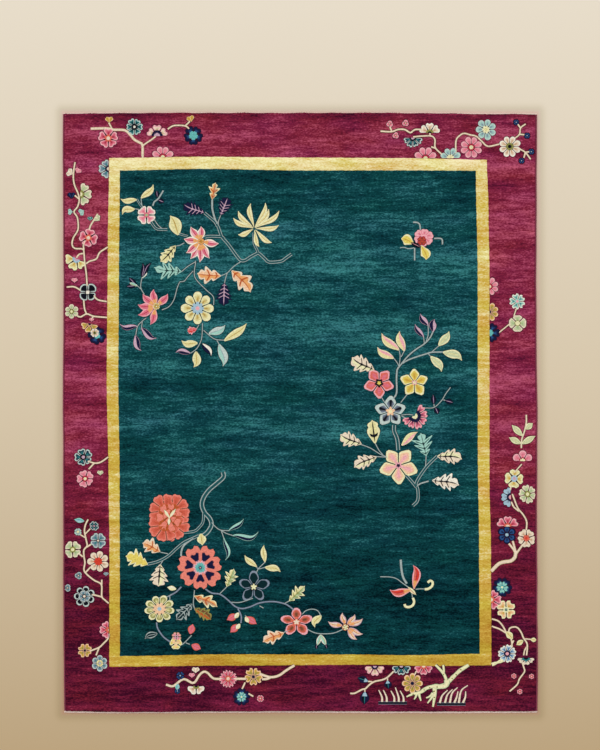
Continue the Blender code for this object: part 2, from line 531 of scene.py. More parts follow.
@dataclass(frozen=True)
class Outline:
    """The pile's four uneven edges, read from the CAD node that the pile stands for.

    left and right hold X against Y, low and high hold Y against X, each as two rows of numbers.
    """

    left: Array
    right: Array
    low: Array
    high: Array
    thickness: float

    NEAR = 0.03

    @classmethod
    def of(cls, node: bpy.types.Object) -> Outline:
        """Reads the edges from the points on the node's underside.

        Args:
            node: the CAD node of the pile.
        Returns:
            The outline.
        """
        points = points_of(node)
        base = np.unique(points[points[:, 2] < MILLIMETRE].round(5), axis=0)
        x, y = base[:, 0], base[:, 1]
        near = cls.NEAR
        sides = (x < x.min() + near, x > x.max() - near, y < y.min() + near, y > y.max() - near)
        edges = []
        for number, chosen in enumerate(sides):
            run = (y, x) if number < 2 else (x, y)
            order = np.argsort(run[0][chosen])
            edges.append(np.stack([run[0][chosen][order], run[1][chosen][order]]))
        return cls(*edges, thickness=float(points[:, 2].max()))

    def depth(self, x: Array, y: Array) -> Array:
        """How far inside the nearest edge each place lies, in metres."""
        sides = (
            x - np.interp(y, *self.left),
            np.interp(y, *self.right) - x,
            y - np.interp(x, *self.low),
            np.interp(x, *self.high) - y,
        )
        return np.minimum.reduce(sides)


@dataclass(frozen=True)
class Frame:
    """One edge line of the gold band all the way round, as squares of the cartoon.

    left and right are rows of a place down and a place across, high and low of across and down.
    """

    left: Table
    right: Table
    high: Table
    low: Table

    WOBBLE = 0.0005

    def edges(self, x: Array, y: Array) -> tuple[Array, Array, Array, Array]:
        """X of the left and right lines beside each Y, and Y of the low and high lines beside each X."""
        down = Cartoon.MIDDLE_DOWN - y / Cartoon.SQUARE
        across = Cartoon.MIDDLE_ACROSS + x / Cartoon.SQUARE
        shake = self.WOBBLE * (np.sin(0.9 * down) + np.sin(0.37 * down + 1.0))
        tremble = self.WOBBLE * (np.sin(0.8 * across + 2.0) + np.sin(0.31 * across))
        return (
            Cartoon.x(eased(self.left, down)) + shake,
            Cartoon.x(eased(self.right, down)) - shake,
            Cartoon.y(eased(self.low, across)) + tremble,
            Cartoon.y(eased(self.high, across)) - tremble,
        )

    def depth(self, x: Array, y: Array) -> Array:
        """How far inside the line each place lies, in metres, and below zero outside it."""
        left, right, low, high = self.edges(x, y)
        return np.minimum.reduce((x - left, right - x, y - low, high - y))


BAND_OUTSIDE = Frame(
    left=((158.0, 109.4), (244.0, 108.0), (380.0, 106.9), (482.0, 108.8), (550.0, 109.6), (665.0, 109.5)),
    right=((158.0, 486.6), (210.0, 488.3), (278.0, 489.3), (482.0, 489.3), (550.0, 490.8), (665.0, 491.2)),
    high=((109.0, 158.2), (203.0, 157.0), (303.0, 157.8), (403.0, 158.3), (487.0, 160.0)),
    low=((109.0, 666.4), (228.0, 665.3), (378.0, 664.4), (428.0, 665.9), (491.0, 665.0)),
)
BAND_INSIDE = Frame(
    left=((170.0, 120.0), (278.0, 119.1), (380.0, 118.5), (482.0, 119.8), (655.0, 120.1)),
    right=((170.0, 475.7), (278.0, 477.5), (448.0, 477.6), (550.0, 478.9), (655.0, 479.5)),
    high=((120.0, 170.7), (203.0, 169.1), (303.0, 170.7), (403.0, 170.6), (476.0, 170.9)),
    low=((120.0, 655.8), (228.0, 654.0), (353.0, 654.2), (403.0, 654.9), (479.0, 653.6)),
)


class Zone(Enum):
    """The pile's three zones, by the number of their yarn."""

    BORDER = 0
    BAND = 1
    FIELD = 2


@dataclass
class Ground:
    """The knotted pile: a grid whose lines follow the rug's edges and both lines of the gold band.

    A groove is clipped along each line of the band, and the rim is rounded over and falls to the back.
    """

    outline: Outline
    cell: float = 0.0095
    margin: float = 0.006
    groove_side: float = 0.0025
    groove_depth: float = 0.0014
    groove_width: float = 0.0026
    rounding: float = 0.0035
    wall_out: float = 0.0002
    wall_foot: float = 0.0004
    rim: tuple[float, ...] = (0.0, 0.0005, 0.0013, 0.0023, 0.0035)
    # Swells of the pile: wavelengths across and along in metres, phase, height in metres
    swells: tuple[tuple[float, float, float, float], ...] = (
        (1.9, 0.83, 0.4, 0.00035),
        (-1.1, 0.47, 2.0, 0.00025),
        (0.71, 0.23, 4.1, 0.00018),
        (-0.47, 0.13, 1.2, 0.00010),
        (0.33, -0.21, 3.3, 0.00008),
    )

    def height(self, x: Array, y: Array) -> Array:
        """The pile's height over the floor: its thickness, plus the swells' sines, less a bell-shaped
        groove along each line of the band, with a quarter circle along the rim.

        Args:
            x: places across the rug, in metres.
            y: places along the rug, in metres.
        Returns:
            Z of the pile's surface, in metres.
        """
        inside = self.outline.depth(x, y)
        swell = sum(
            high * np.sin(2.0 * np.pi * (x / across + y / along) + phase)
            for across, along, phase, high in self.swells
        )
        near = np.minimum(np.abs(BAND_OUTSIDE.depth(x, y)), np.abs(BAND_INSIDE.depth(x, y)))
        groove = self.groove_depth * np.exp(-((near / self.groove_width) ** 2))
        fall = np.clip(self.rounding - inside, 0.0, self.rounding)
        drop = self.rounding - np.sqrt(self.rounding**2 - fall**2)
        top = self.outline.thickness - MILLIMETRE * 0.5 + swell - groove - drop
        return np.where(inside < -0.5 * self.wall_out, self.wall_foot, top)

    def lines(self, widths: Sequence[float]) -> tuple[Array, Array, Array]:
        """The grid lines of one direction.

        Args:
            widths: the usual width of each of the five stretches from edge to edge.
        Returns:
            For each line its stretch, its offset in metres and its share of the stretch's middle part.
        """
        rows = []
        last = len(widths) - 1
        for stretch, width in enumerate(widths):
            near_first = (-self.wall_out, *self.rim) if stretch == 0 else (0.0, self.groove_side)
            near_last = (*self.rim[::-1], -self.wall_out) if stretch == last else (self.groove_side,)
            count = max(2, round((width - 2.0 * self.margin) / self.cell) + 1)
            rows += [(stretch, offset, 0.0) for offset in near_first]
            rows += [(stretch, self.margin, share) for share in np.linspace(0.0, 1.0, count)]
            rows += [(stretch, 2.0 * self.margin - offset, 1.0) for offset in near_last]
        stretch, offset, share = np.array(rows).T
        return stretch.astype(int), offset, share

    def grid(self) -> tuple[Array, Array]:
        """X and Y of the grid's points: each line keeps its offset or share between the two edges beside it.

        Returns:
            X and Y, a row of points for each line along the rug.
        """
        keys_x, keys_y = self.keys(np.zeros(1), np.zeros(1))
        columns = self.lines(np.diff(keys_x[:, 0]))
        rows = self.lines(np.diff(keys_y[:, 0]))
        x = np.zeros((len(rows[0]), len(columns[0])))
        y = np.zeros_like(x)
        number_x = np.arange(x.shape[1])
        number_y = np.arange(x.shape[0])
        for _ in range(SETTLING_ROUNDS):
            keys_x, keys_y = self.keys(x, y)
            first, after = keys_x[columns[0], :, number_x].T, keys_x[columns[0] + 1, :, number_x].T
            new_x = first + columns[1] + columns[2] * (after - first - 2.0 * self.margin)
            first, after = keys_y[rows[0], number_y, :], keys_y[rows[0] + 1, number_y, :]
            y = first + rows[1][:, None] + rows[2][:, None] * (after - first - 2.0 * self.margin)
            x = new_x
        return x, y

    def keys(self, x: Array, y: Array) -> tuple[Array, Array]:
        """The six lines that the grid follows each way: the rug's edges and the band's two lines twice."""
        outer = BAND_OUTSIDE.edges(x, y)
        inner = BAND_INSIDE.edges(x, y)
        edge = self.outline
        across = (np.interp(y, *edge.left), outer[0], inner[0], inner[1], outer[1], np.interp(y, *edge.right))
        along = (np.interp(x, *edge.low), outer[2], inner[2], inner[3], outer[3], np.interp(x, *edge.high))
        return np.stack(across), np.stack(along)

    @staticmethod
    def zones(x: Array, y: Array) -> Array:
        """The zone number of each place."""
        return (BAND_OUTSIDE.depth(x, y) > 0.0).astype(int) + (BAND_INSIDE.depth(x, y) > 0.0)

    def build(self) -> list[bpy.types.Object]:
        """Builds the border, the band and the field as three pieces that meet line to line.

        Returns:
            The three pieces.
        """
        x, y = self.grid()
        points = np.stack([x, y, self.height(x, y)], axis=-1).reshape(-1, 3)
        quads = grid_quads(*x.shape)
        middle = points[quads].mean(axis=1)
        zone = self.zones(middle[:, 0], middle[:, 1])
        dressed = {Zone.BORDER: BORDER_WOOL, Zone.BAND: BAND_WOOL, Zone.FIELD: FIELD_WOOL}
        made = []
        for which, wool in dressed.items():
            piece = mesh_object(f"{which.name.lower()}_pile", points, quads[zone == which.value])
            finish_piece(piece, PILE_SLOT, [wool.material()], "pile_carpet")
            made.append(piece)
        return made


@dataclass
class KnottedBack:
    """The rug's back: a thin closed slab under the pile, showing the knots in the zones' own colours."""

    ground: Ground
    thickness: float = 0.0012
    inset: float = 0.0004
    cells: tuple[int, int] = (96, 120)

    def build(self) -> bpy.types.Object:
        """Builds the slab: the outline's grid once at the floor and once a thickness above it, joined
        round the edge.

        Returns:
            The piece.
        """
        edge = self.ground.outline
        across, along = np.meshgrid(*(np.linspace(0.0, 1.0, count + 1) for count in self.cells))
        x = across * 0.0
        y = along * 0.0
        for _ in range(SETTLING_ROUNDS):
            left, right = np.interp(y, *edge.left) + self.inset, np.interp(y, *edge.right) - self.inset
            low, high = np.interp(x, *edge.low) + self.inset, np.interp(x, *edge.high) - self.inset
            x, y = left + (right - left) * across, low + (high - low) * along
        count = x.size
        under = np.stack([x, y, np.zeros_like(x)], axis=-1).reshape(-1, 3)
        over = under + (0.0, 0.0, self.thickness)
        quads = grid_quads(*x.shape)
        number = np.arange(count).reshape(x.shape)
        rim = np.concatenate([number[0, :-1], number[:-1, -1], number[-1, :0:-1], number[:0:-1, 0]])
        after = np.roll(rim, -1)
        wall = np.stack([rim, after, after + count, rim + count], axis=1)
        faces = np.concatenate([quads[:, ::-1], quads + count, wall])
        piece = mesh_object("knotted_back", np.concatenate([under, over]), faces)
        middle = under[quads].mean(axis=1)
        zone = self.ground.zones(middle[:, 0], middle[:, 1])
        numbers = np.concatenate([zone, zone, np.zeros(len(wall), dtype=int)]).astype(np.int32)
        finish_piece(piece, PILE_SLOT, [wool.material() for wool in BACK_WOOLS], "pile_carpet")
        piece.data.polygons.foreach_set("material_index", numbers)
        return piece


@dataclass
class Overcast:
    """Wool wound round the edge warps: a cord of close turns down one side of the rug."""

    node: str
    turn: float = 0.0056
    samples: int = 4
    points_round: int = 10
    # Radians that the section runs on below its middle, down to its flat foot
    foot: float = 0.8
    swell: float = 0.13
    slant: float = 0.35

    def build(self) -> bpy.types.Object:
        """Builds the cord: a flat-footed round section along the node's middle, its radius larger at
        the middle of each turn by swell times the sine's size, the turns leaning a little.

        Returns:
            The piece.
        """
        stations, beside = stations_of(self.node, 1)
        middle_x = np.array([x.mean() for x in beside])
        low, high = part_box(self.node)
        radius = (high[2] - low[2]) / 2.0
        turns = round((stations[-1] - stations[0]) / self.turn)
        along = np.linspace(stations[0], stations[-1], turns * self.samples)
        middle = np.interp(along, stations, middle_x)
        angle = np.linspace(-self.foot, np.pi + self.foot, self.points_round)
        phase = np.pi * (along[:, None] - stations[0]) / self.turn + self.slant * np.cos(angle)
        size = radius * (1.0 - self.swell + self.swell * np.abs(np.sin(phase)))
        uneven = 1.0 + 0.04 * np.sin(along * 19.0)[:, None] * np.sin(along * 7.0 + 1.0)[:, None]
        x = middle[:, None] + size * uneven * np.cos(angle) * 0.98
        z = np.maximum(radius + size * np.sin(angle), 0.0)
        rings = capped(np.stack([x, np.broadcast_to(along[:, None], x.shape), z], axis=-1))
        piece = mesh_object(f"{self.node}_winding", rings, grid_quads(*rings.shape[:2], wrap=True)[:, ::-1])
        finish_piece(piece, OVERCAST_SLOT, [OVERCAST_WOOL.material()], self.node)
        return piece


@dataclass
class Webbing:
    """Plain-woven cotton past one end of the pile, beaten in close and a little ragged."""

    node: str
    outward: float
    pitch: float = 0.0042
    relief: float = 0.0004
    ragged: float = 0.0009

    def build(self) -> bpy.types.Object:
        """Builds the strip: a flat closed band whose top rises and falls over and under each warp, as
        sin(x) * sin(y), with its outer edge shaken by sums of sines.

        Returns:
            The piece.
        """
        stations, beside = stations_of(self.node, 0)
        near = np.array([self.outward * (self.outward * y).min() for y in beside])
        far = np.array([self.outward * (self.outward * y).max() for y in beside])
        x = np.linspace(stations[0], stations[-1], round((stations[-1] - stations[0]) / self.pitch) * 2)
        shake = np.sin(x * 310.0) * np.sin(x * 57.0 + 1.0) + 0.6 * np.sin(x * 131.0)
        inner = np.interp(x, stations, near)
        outer = np.interp(x, stations, far) - self.outward * self.ragged * (1.0 + shake)
        share = np.array([0.0, 0.0, 0.2, 0.45, 0.7, 1.0, 1.0])
        y = inner[:, None] + (outer - inner)[:, None] * share
        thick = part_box(self.node)[1][2]
        lift = self.relief * np.sin(np.pi * (x[:, None] / self.pitch + 0.25)) * np.sin(np.pi * y / self.pitch)
        z = thick - self.relief + lift
        z[:, [0, -1]] = 0.0
        rings = capped(np.stack([np.broadcast_to(x[:, None], y.shape), y, z], axis=-1))
        quads = grid_quads(*rings.shape[:2], wrap=True)
        piece = mesh_object(f"{self.node}_weave", rings, quads if self.outward < 0.0 else quads[:, ::-1])
        finish_piece(piece, WEB_SLOT, [WEB_COTTON.material()], self.node)
        return piece


@dataclass
class RimTufts:
    """Loose tufts of the last knot rows, which lean out over the webbing at both ends."""

    outline: Outline
    spacing: float = 0.0026
    width: float = 0.0016
    reach: tuple[float, float] = (0.0010, 0.0042)
    seed: int = 7

    # How far inside the rim a tuft is rooted, and how high its tip comes to rest, in metres
    ROOT = 0.0012
    REST = 0.0034

    def build(self) -> bpy.types.Object:
        """Builds the tufts: each a four-sided lock in four rings from the rim, out and down to a blunt tip,
        after x = root + lean * t, y = edge + reach * t, z falling by t squared.

        Returns:
            The piece.
        """
        draws = np.random.default_rng(self.seed)
        locks = []
        for edge, outward in ((self.outline.low, -1.0), (self.outline.high, 1.0)):
            count = round((edge[0, -1] - edge[0, 0]) / self.spacing)
            root_x = np.linspace(edge[0, 0] + 0.002, edge[0, -1] - 0.002, count)
            root_x = root_x + draws.uniform(-0.4, 0.4, count) * self.spacing
            reach = draws.uniform(*self.reach, count) * (0.6 + 0.4 * np.sin(root_x * 41.0 + outward))
            lean = draws.uniform(-0.0012, 0.0012, count)
            top = draws.uniform(0.0035, 0.0075, count)
            t = np.array([0.0, 0.45, 0.8, 1.0])
            size = self.width * np.array([1.0, 0.9, 0.65, 0.15])
            corner_x, corner_z = np.array([-1.0, 1.0, 1.0, -1.0]), np.array([-1.0, -1.0, 1.0, 1.0])
            root_x, lean, top, reach = (run[:, None, None] for run in (root_x, lean, top, reach))
            x = root_x + lean * t[:, None] + size[:, None] * corner_x
            inner = np.interp(root_x, *edge) - outward * self.ROOT
            y = inner + outward * (reach + self.ROOT) * t[:, None]
            fall = top - (top - self.REST) * (t**2)[:, None]
            z = fall + 0.6 * size[:, None] * corner_z
            lock = np.stack(np.broadcast_arrays(x, y, z), axis=-1)
            locks.append((lock, outward))
        quads = grid_quads(4, 4, wrap=True)
        caps = np.array([[3, 2, 1, 0], [12, 13, 14, 15]])
        points, faces, start = [], [], 0
        for lock, outward in locks:
            turned = np.concatenate([quads, caps])
            turned = turned if outward > 0.0 else turned[:, ::-1]
            first = start + np.arange(len(lock)) * 16
            faces.append((first[:, None, None] + turned).reshape(-1, 4))
            points.append(lock.reshape(-1, 3))
            start += len(lock) * 16
        piece = mesh_object("rim_tufts", np.concatenate(points), np.concatenate(faces))
        finish_piece(piece, PILE_SLOT, [TUFT_WOOL.material()])
        return piece


class Yarn(Enum):
    """The dyed yarns of the motifs, and the painted shade in their cuts, as sRGB colours."""

    IVORY = "#F6EEDC"
    CREAM = "#EFDCC2"
    BISCUIT = "#D9BE98"
    STRAW = "#F1EBBA"
    WHEAT = "#E8DEA0"
    HONEY = "#BE9E52"
    YELLOW = "#E8D266"
    GOLD = "#CFA340"
    OLIVE = "#93924E"
    LEAF = "#A9BE8C"
    SAGE = "#CBD2A6"
    FROST = "#C4D2CA"
    MINT = "#A4D2C2"
    AQUA = "#68BAB4"
    SKY = "#A6C4D2"
    TEAL = "#2E7C7C"
    SLATE = "#8590A0"
    ASH = "#A6B2AE"
    BLUE = "#2C568C"
    NAVY = "#14163A"
    INK = "#080A18"
    PEACH = "#F6C9A0"
    APRICOT = "#EDA868"
    RUST = "#BE5A2C"
    SALMON = "#EC8674"
    CORAL = "#DE6A56"
    TERRACOTTA = "#C4543C"
    VERMILION = "#D8402E"
    ROSE = "#E27486"
    PINK = "#F2AEB4"
    BLUSH = "#E893A0"
    LILAC = "#CFACBC"
    CRIMSON = "#AE2440"
    BROWN = "#74482F"
    TAN = "#C89C78"
    LAGOON = "#1C5256"
    # DEEP_TEAL, also a yarn of some leaves and a flower, and DEEP_WINE colour the painted shade in the cuts
    # round the motifs
    DEEP_TEAL = "#03262B"
    DEEP_WINE = "#32061A"

    @property
    def dye(self) -> Array:
        """The yarn's linear RGB."""
        return linear(self.value)


@dataclass(frozen=True)
class Dress:
    """The yarns of a flower: its outline, its petals, their inner half, the ring and the heart."""

    rim: Yarn
    body: Yarn
    flush: Yarn
    ring: Yarn
    heart: Yarn

    @classmethod
    def of(cls, yarns: str) -> Dress:
        """The dress whose five yarns are named in that order."""
        return cls(*(Yarn[name] for name in yarns.split()))


@dataclass(frozen=True)
class LeafDress:
    """The yarns and cut of a leaf: its outline, its two halves, its veins, and its lobes if it has any.

    flush is the yarn of its foot. lean is how far its lobes lean towards the tip and depth how deep they
    are cut. outline and spine are shares of the half width, and fullness moves the widest place.
    """

    rim: Yarn
    left: Yarn
    right: Yarn
    vein: Yarn
    flush: Yarn | None = None
    lobes: int = 0
    lean: float = 0.0
    depth: float = 0.5
    outline: float = 0.66
    spine: float = 0.10
    fullness: float = 1.0

    @classmethod
    def of(cls, yarns: str, **cut: float | Yarn) -> LeafDress:
        """The dress whose outline, two halves and veins are named in that order, and how it is cut."""
        return cls(*(Yarn[name] for name in yarns.split()), **cut)


class Bloom(Enum):
    """A petal's shape: how far it narrows at its sides, how sharply, how deep its tip is notched, and
    how narrow it is at its foot. A notch below zero draws the tip out to a point."""

    NOTCHED = (0.30, 3.4, 0.17, 0.66)
    ROUND = (0.32, 2.8, 0.0, 0.70)
    CLOVER = (0.42, 3.0, 0.30, 0.80)
    POINTED = (0.58, 1.7, 0.0, 0.78)
    TIPPED = (0.32, 2.2, -0.16, 0.84)
    SCALLOPED = (0.20, 2.4, 0.09, 0.85)


class Opens(Enum):
    """Which way a flower opens: where its first petal starts and how far its petals reach, in degrees."""

    ROUND = (0.0, 360.0)
    UP = (0.0, 180.0)
    LEFT = (90.0, 180.0)
    DOWN = (180.0, 180.0)
    RIGHT = (270.0, 180.0)
    LOW_RIGHT = (190.0, 240.0)
    LOW_LEFT = (150.0, 190.0)


@dataclass
class Inlay:
    """Motifs knotted into the ground in their own yarns, and clipped a little proud of it.

    Each motif is a patch, a grid of points over the cartoon. Round each patch the pile is cut in with
    the shears, and the shade in that cut is painted in as a thin dark line of a deep yarn colour.
    """

    name: str
    ground: Ground
    painted_cut_shade: Yarn
    points: list[Array] = field(default_factory=list)
    quads: list[Array] = field(default_factory=list)
    yarns: list[Array] = field(default_factory=list)
    count: int = 0

    LAYER_MM = 0.05
    LAYERS = 9
    CUT_NEAR = 0.18
    CUT_FAR = 0.70

    def lay(self, across: Array, down: Array, lift: Array, yarn: Array, wrap: bool = False) -> None:
        """Lays one patch on the pile: each patch lies a hair over the one before, faces up.

        Args:
            across: squares across of the patch's grid of points.
            down: squares down of its points.
            lift: millimetres of each point over the pile.
            yarn: linear RGB of each point.
            wrap: whether the patch's last column joins its first.
        """
        x, y = Cartoon.x(across), Cartoon.y(down)
        layer = self.LAYER_MM * (len(self.quads) % self.LAYERS)
        z = self.ground.height(x, y) + (lift + layer) * MILLIMETRE
        points = np.stack([x, y, z], axis=-1)
        quads = grid_quads(*x.shape, wrap=wrap)
        corner = points.reshape(-1, 3)[quads][..., :2]
        first, second = corner[:, 2] - corner[:, 0], corner[:, 3] - corner[:, 1]
        turned = first[:, 0] * second[:, 1] - first[:, 1] * second[:, 0] < 0.0
        quads[turned] = quads[turned, ::-1]
        self.points.append(points.reshape(-1, 3))
        self.yarns.append(np.broadcast_to(yarn, points.shape).reshape(-1, 3))
        self.quads.append(quads + self.count)
        self.count += x.size

    def build(self, wool: bpy.types.Material) -> bpy.types.Object:
        """Joins the patches into one piece and welds the points that fall together at petals' roots.

        Args:
            wool: the motifs' material.
        Returns:
            The piece.
        """
        points, quads, yarns = (np.concatenate(run) for run in (self.points, self.quads, self.yarns))
        piece = mesh_object(self.name, points, quads, yarns)
        body = bmesh.new()
        body.from_mesh(piece.data)
        bmesh.ops.remove_doubles(body, verts=body.verts[:], dist=1e-6)
        body.to_mesh(piece.data)
        body.free()
        finish_piece(piece, PILE_SLOT, [wool])
        return piece


@dataclass(frozen=True)
class Flower:
    """A flower seen from above: petals round a heart, outlined in a pale yarn.

    Its centre and radius are in squares of the cartoon, its turn in degrees. heart, ring and rim are
    shares of its radius. gap is the yarn between its petals where that isn't the cut's painted shade,
    and raised lifts a flower that lies on another, in millimetres.
    """

    centre: Spot
    radius: float
    dress: Dress
    petals: int = 5
    bloom: Bloom = Bloom.NOTCHED
    turn: float = 0.0
    opens: Opens = Opens.ROUND
    squash: float = 1.0
    heart: float = 0.20
    ring: float = 0.38
    rim: float = 0.87
    gap: Yarn | None = None
    raised: float = 0.0

    # Lines across a petal from side to side: the cut's painted shade beyond EDGE, then the outline as far as
    # SIDE
    PHASES = (-1.0, -0.95, -0.88, -0.77, -0.70, -0.36, -0.12, 0.12, 0.36, 0.70, 0.77, 0.88, 0.95)
    EDGE = 0.9
    SIDE = 0.74
    VEIN = (0.3, 0.4)
    NOTCH_WIDTH = 0.28
    # Shares that stand for the near and the far line of the cut round the flower
    CUTS = (1.1, 1.2)
    CROWN_MM = 0.8
    FOOT_MM = 0.2
    UNEVEN = 0.05

    def lay(self, inlay: Inlay) -> None:
        """Lays the flower: radius * (1 - narrow * |phase| ** power) * (1 - notch * bell(phase)) round
        the heart, each petal drawn in at its foot, crowned along its middle and sunk at its rim.

        Args:
            inlay: the piece that takes it.
        """
        narrow, power, notch, foot = self.bloom.value
        start, reach = self.opens.value
        whole = self.opens is Opens.ROUND
        phase = np.tile(self.PHASES, self.petals)
        petal = np.repeat(np.arange(self.petals), len(self.PHASES))
        if not whole:
            phase, petal = np.append(phase, 1.0), np.append(petal, self.petals - 1)
        draws = np.random.default_rng(int(self.centre[0] * 10.0 + self.centre[1]))
        size = 1.0 + draws.uniform(-self.UNEVEN, self.UNEVEN, self.petals)[petal]
        lean = draws.uniform(-self.UNEVEN, self.UNEVEN, self.petals)[petal] * (1.0 - np.abs(phase))
        edge = 1.0 - narrow * np.abs(phase) ** power
        edge = self.radius * size * edge * (1.0 - notch * np.exp(-((phase / self.NOTCH_WIDTH) ** 2)))
        ring, rim = self.ring, self.rim
        inner = [0.0, self.heart - 0.03, self.heart + 0.02, ring - 0.02, ring + 0.03, 0.60]
        shares = np.array([*inner, rim - 0.03, rim + 0.02, 1.0, *self.CUTS])[:, None]
        cuts = np.array([inlay.CUT_NEAR, inlay.CUT_FAR])[:, None]
        radius = np.concatenate([shares[:-2] * edge, edge + cuts])
        spread = foot + (1.0 - foot) * np.sin(0.5 * np.pi * np.clip((shares - ring) / (rim - ring), 0.0, 1.0))
        drawn = phase * np.where(np.abs(phase) < 1.0, np.where(shares > ring, spread, 1.0), 1.0)
        angle = np.radians(start + self.turn)
        angle = angle + np.radians(reach) * (petal + (drawn + 1.0) / 2.0 + lean) / self.petals
        across = self.centre[0] + radius * np.cos(angle)
        down = self.centre[1] - radius * np.sin(angle) * self.squash
        crown = self.CROWN_MM * np.sqrt(np.clip(1.0 - shares**2, 0.0, 1.0)) * (1.0 - 0.5 * np.abs(phase) ** 4)
        lift = np.where(shares == self.CUTS[1], -0.5 * self.FOOT_MM, crown + self.FOOT_MM + self.raised)
        inlay.lay(across, down, lift, self._yarns(shares, np.abs(phase), inlay.painted_cut_shade), wrap=whole)

    def _yarns(self, share: Array, side: Array, painted_cut_shade: Yarn) -> Array:
        """The yarn at each share of the radius and each distance from a petal's middle."""
        dress = self.dress
        shape = (share.shape[0], side.shape[0])
        rows = np.broadcast_to(share, shape)
        sides = np.broadcast_to(side, shape)
        yarn = np.broadcast_to(dress.body.dye, (*shape, 3)).copy()
        yarn[(rows < 0.75) & (sides < 0.2)] = dress.flush.dye
        vein = (sides > self.VEIN[0]) & (sides < self.VEIN[1]) & (rows < 0.75)
        yarn[vein] = 0.5 * dress.body.dye + 0.5 * dress.flush.dye
        yarn[rows <= self.ring] = dress.ring.dye
        yarn[rows <= self.heart] = dress.heart.dye
        petal = rows > self.ring
        yarn[(rows > self.rim) | (petal & (sides > self.SIDE))] = dress.rim.dye
        # Painted shade of the cut between the petals, unless a gap yarn is given, and all round past the rim
        yarn[petal & (sides > self.EDGE)] = (self.gap or painted_cut_shade).dye
        yarn[rows >= self.CUTS[0]] = painted_cut_shade.dye
        return yarn


@dataclass(frozen=True)
class Leaf:
    """A leaf, bud or long petal from its base to its tip, outlined and veined, plain or lobed.

    Its ends and width are in squares of the cartoon. bend bows it to its left by a share of its length,
    and raised lifts it where it lies on a flower, in millimetres.
    """

    base: Spot
    tip: Spot
    width: float
    dress: LeafDress
    bend: float = 0.0
    raised: float = 0.0

    STEPS = 14
    TIP_STEPS = 6
    HOOK = 1.7
    CROWN_MM = 0.8
    FLUSH_SHARE = 0.38
    TAIL = 0.38
    # Places along one lobe: its vein runs between the two nearest its middle
    LOBE = (0.0, 0.2, 0.38, 0.43, 0.57, 0.62, 0.8)
    VEIN_NEAR = 0.08

    def lay(self, inlay: Inlay) -> None:
        """Lays the leaf: its middle is base + (tip - base) * v, bowed by bend * sin(pi * v ** HOOK).

        Its half width is sin(pi * v ** fullness) to a power that sharpens its tip, times
        1 - depth * |2 * phase - 1| ** 1.5 along each pair of lobes, whose tips lean forward by a share
        of their reach.

        Args:
            inlay: the piece that takes it.
        """
        dress = self.dress
        v, lobe, vein = self._stations()
        base, run = np.array(self.base), np.array(self.tip) - np.array(self.base)
        length = float(np.hypot(*run))
        normal = np.array([run[1], -run[0]]) / length
        bow = self.bend * length * np.sin(np.pi * v**self.HOOK)
        middle = base + run * v[:, None] + normal * bow[:, None]
        along, side = directions(middle)
        swell = np.sin(np.pi * np.clip(v, 0.02, 0.98) ** dress.fullness) ** (0.65 + 0.6 * v)
        half = self.width / 2.0 * swell * lobe
        outer, inner = dress.outline, dress.spine
        u = np.array([-1.0, -outer - 0.06, -outer + 0.04, -inner - 0.05, -inner + 0.05])
        reach = half[:, None] * np.concatenate([u, -u[::-1]])
        near, far = half[:, None] + inlay.CUT_NEAR, half[:, None] + inlay.CUT_FAR
        reach = np.concatenate([-far, -near, reach, near, far], axis=1)
        spots = middle[:, None] + side[:, None] * reach[..., None]
        spots = spots + along[:, None] * (dress.lean * np.abs(reach))[..., None]
        heights = self.CROWN_MM * np.array([-0.2, 0.1, 0.45, 0.75, 0.9, 1.0, 1.0])
        heights[1:] += self.raised
        lift = np.broadcast_to(np.concatenate([heights, heights[::-1]]), reach.shape)
        inlay.lay(spots[..., 0], spots[..., 1], lift, self._yarns(v, vein, inlay.painted_cut_shade))

    def _stations(self) -> tuple[Array, Array, Array]:
        """Shares along the leaf, how wide each is for its lobe, and whether a side vein runs there."""
        if not self.dress.lobes:
            v = np.linspace(0.0, 1.0, self.STEPS)
            return v, np.ones_like(v), np.zeros(len(v), dtype=bool)
        phase = np.tile(self.LOBE, self.dress.lobes)
        number = np.repeat(np.arange(self.dress.lobes), len(self.LOBE))
        body = (number + phase) / self.dress.lobes * (1.0 - self.TAIL)
        end = np.linspace(0.0, 1.0, self.TIP_STEPS)
        v = np.concatenate([body, 1.0 - self.TAIL * (1.0 - end)])
        waist = 1.0 - self.dress.depth
        swollen = waist + (1.0 - waist) * (1.0 - np.abs(2.0 * phase - 1.0) ** 1.5)
        lobe = np.concatenate([swollen, waist + 0.4 * np.sin(np.pi * end)])
        vein = np.concatenate([np.abs(phase - 0.5) < self.VEIN_NEAR, np.zeros(self.TIP_STEPS, dtype=bool)])
        return v, lobe, vein

    def _yarns(self, v: Array, vein: Array, painted_cut_shade: Yarn) -> Array:
        """The yarn of each point: the cut's painted shade, outline, halves and spine across, with side veins
        and a flush.
        """
        dress = self.dress
        # cut is the painted shade in the cut beside the leaf
        edge, cut, spine = dress.rim.dye, painted_cut_shade.dye, dress.vein.dye
        half = [cut, cut, edge, edge]
        left, right = dress.left.dye, dress.right.dye
        across = [*half, left, left, spine, spine, right, right, *half[::-1]]
        yarn = np.broadcast_to(np.array(across), (len(v), len(across), 3)).copy()
        if dress.flush:
            foot = np.flatnonzero(v < self.FLUSH_SHARE)
            yarn[foot[0] : foot[-1] + 1, 4:10] = dress.flush.dye
        yarn[np.flatnonzero(vein), 4:10] = spine
        yarn[[0, -1], 2:-2] = edge
        return yarn


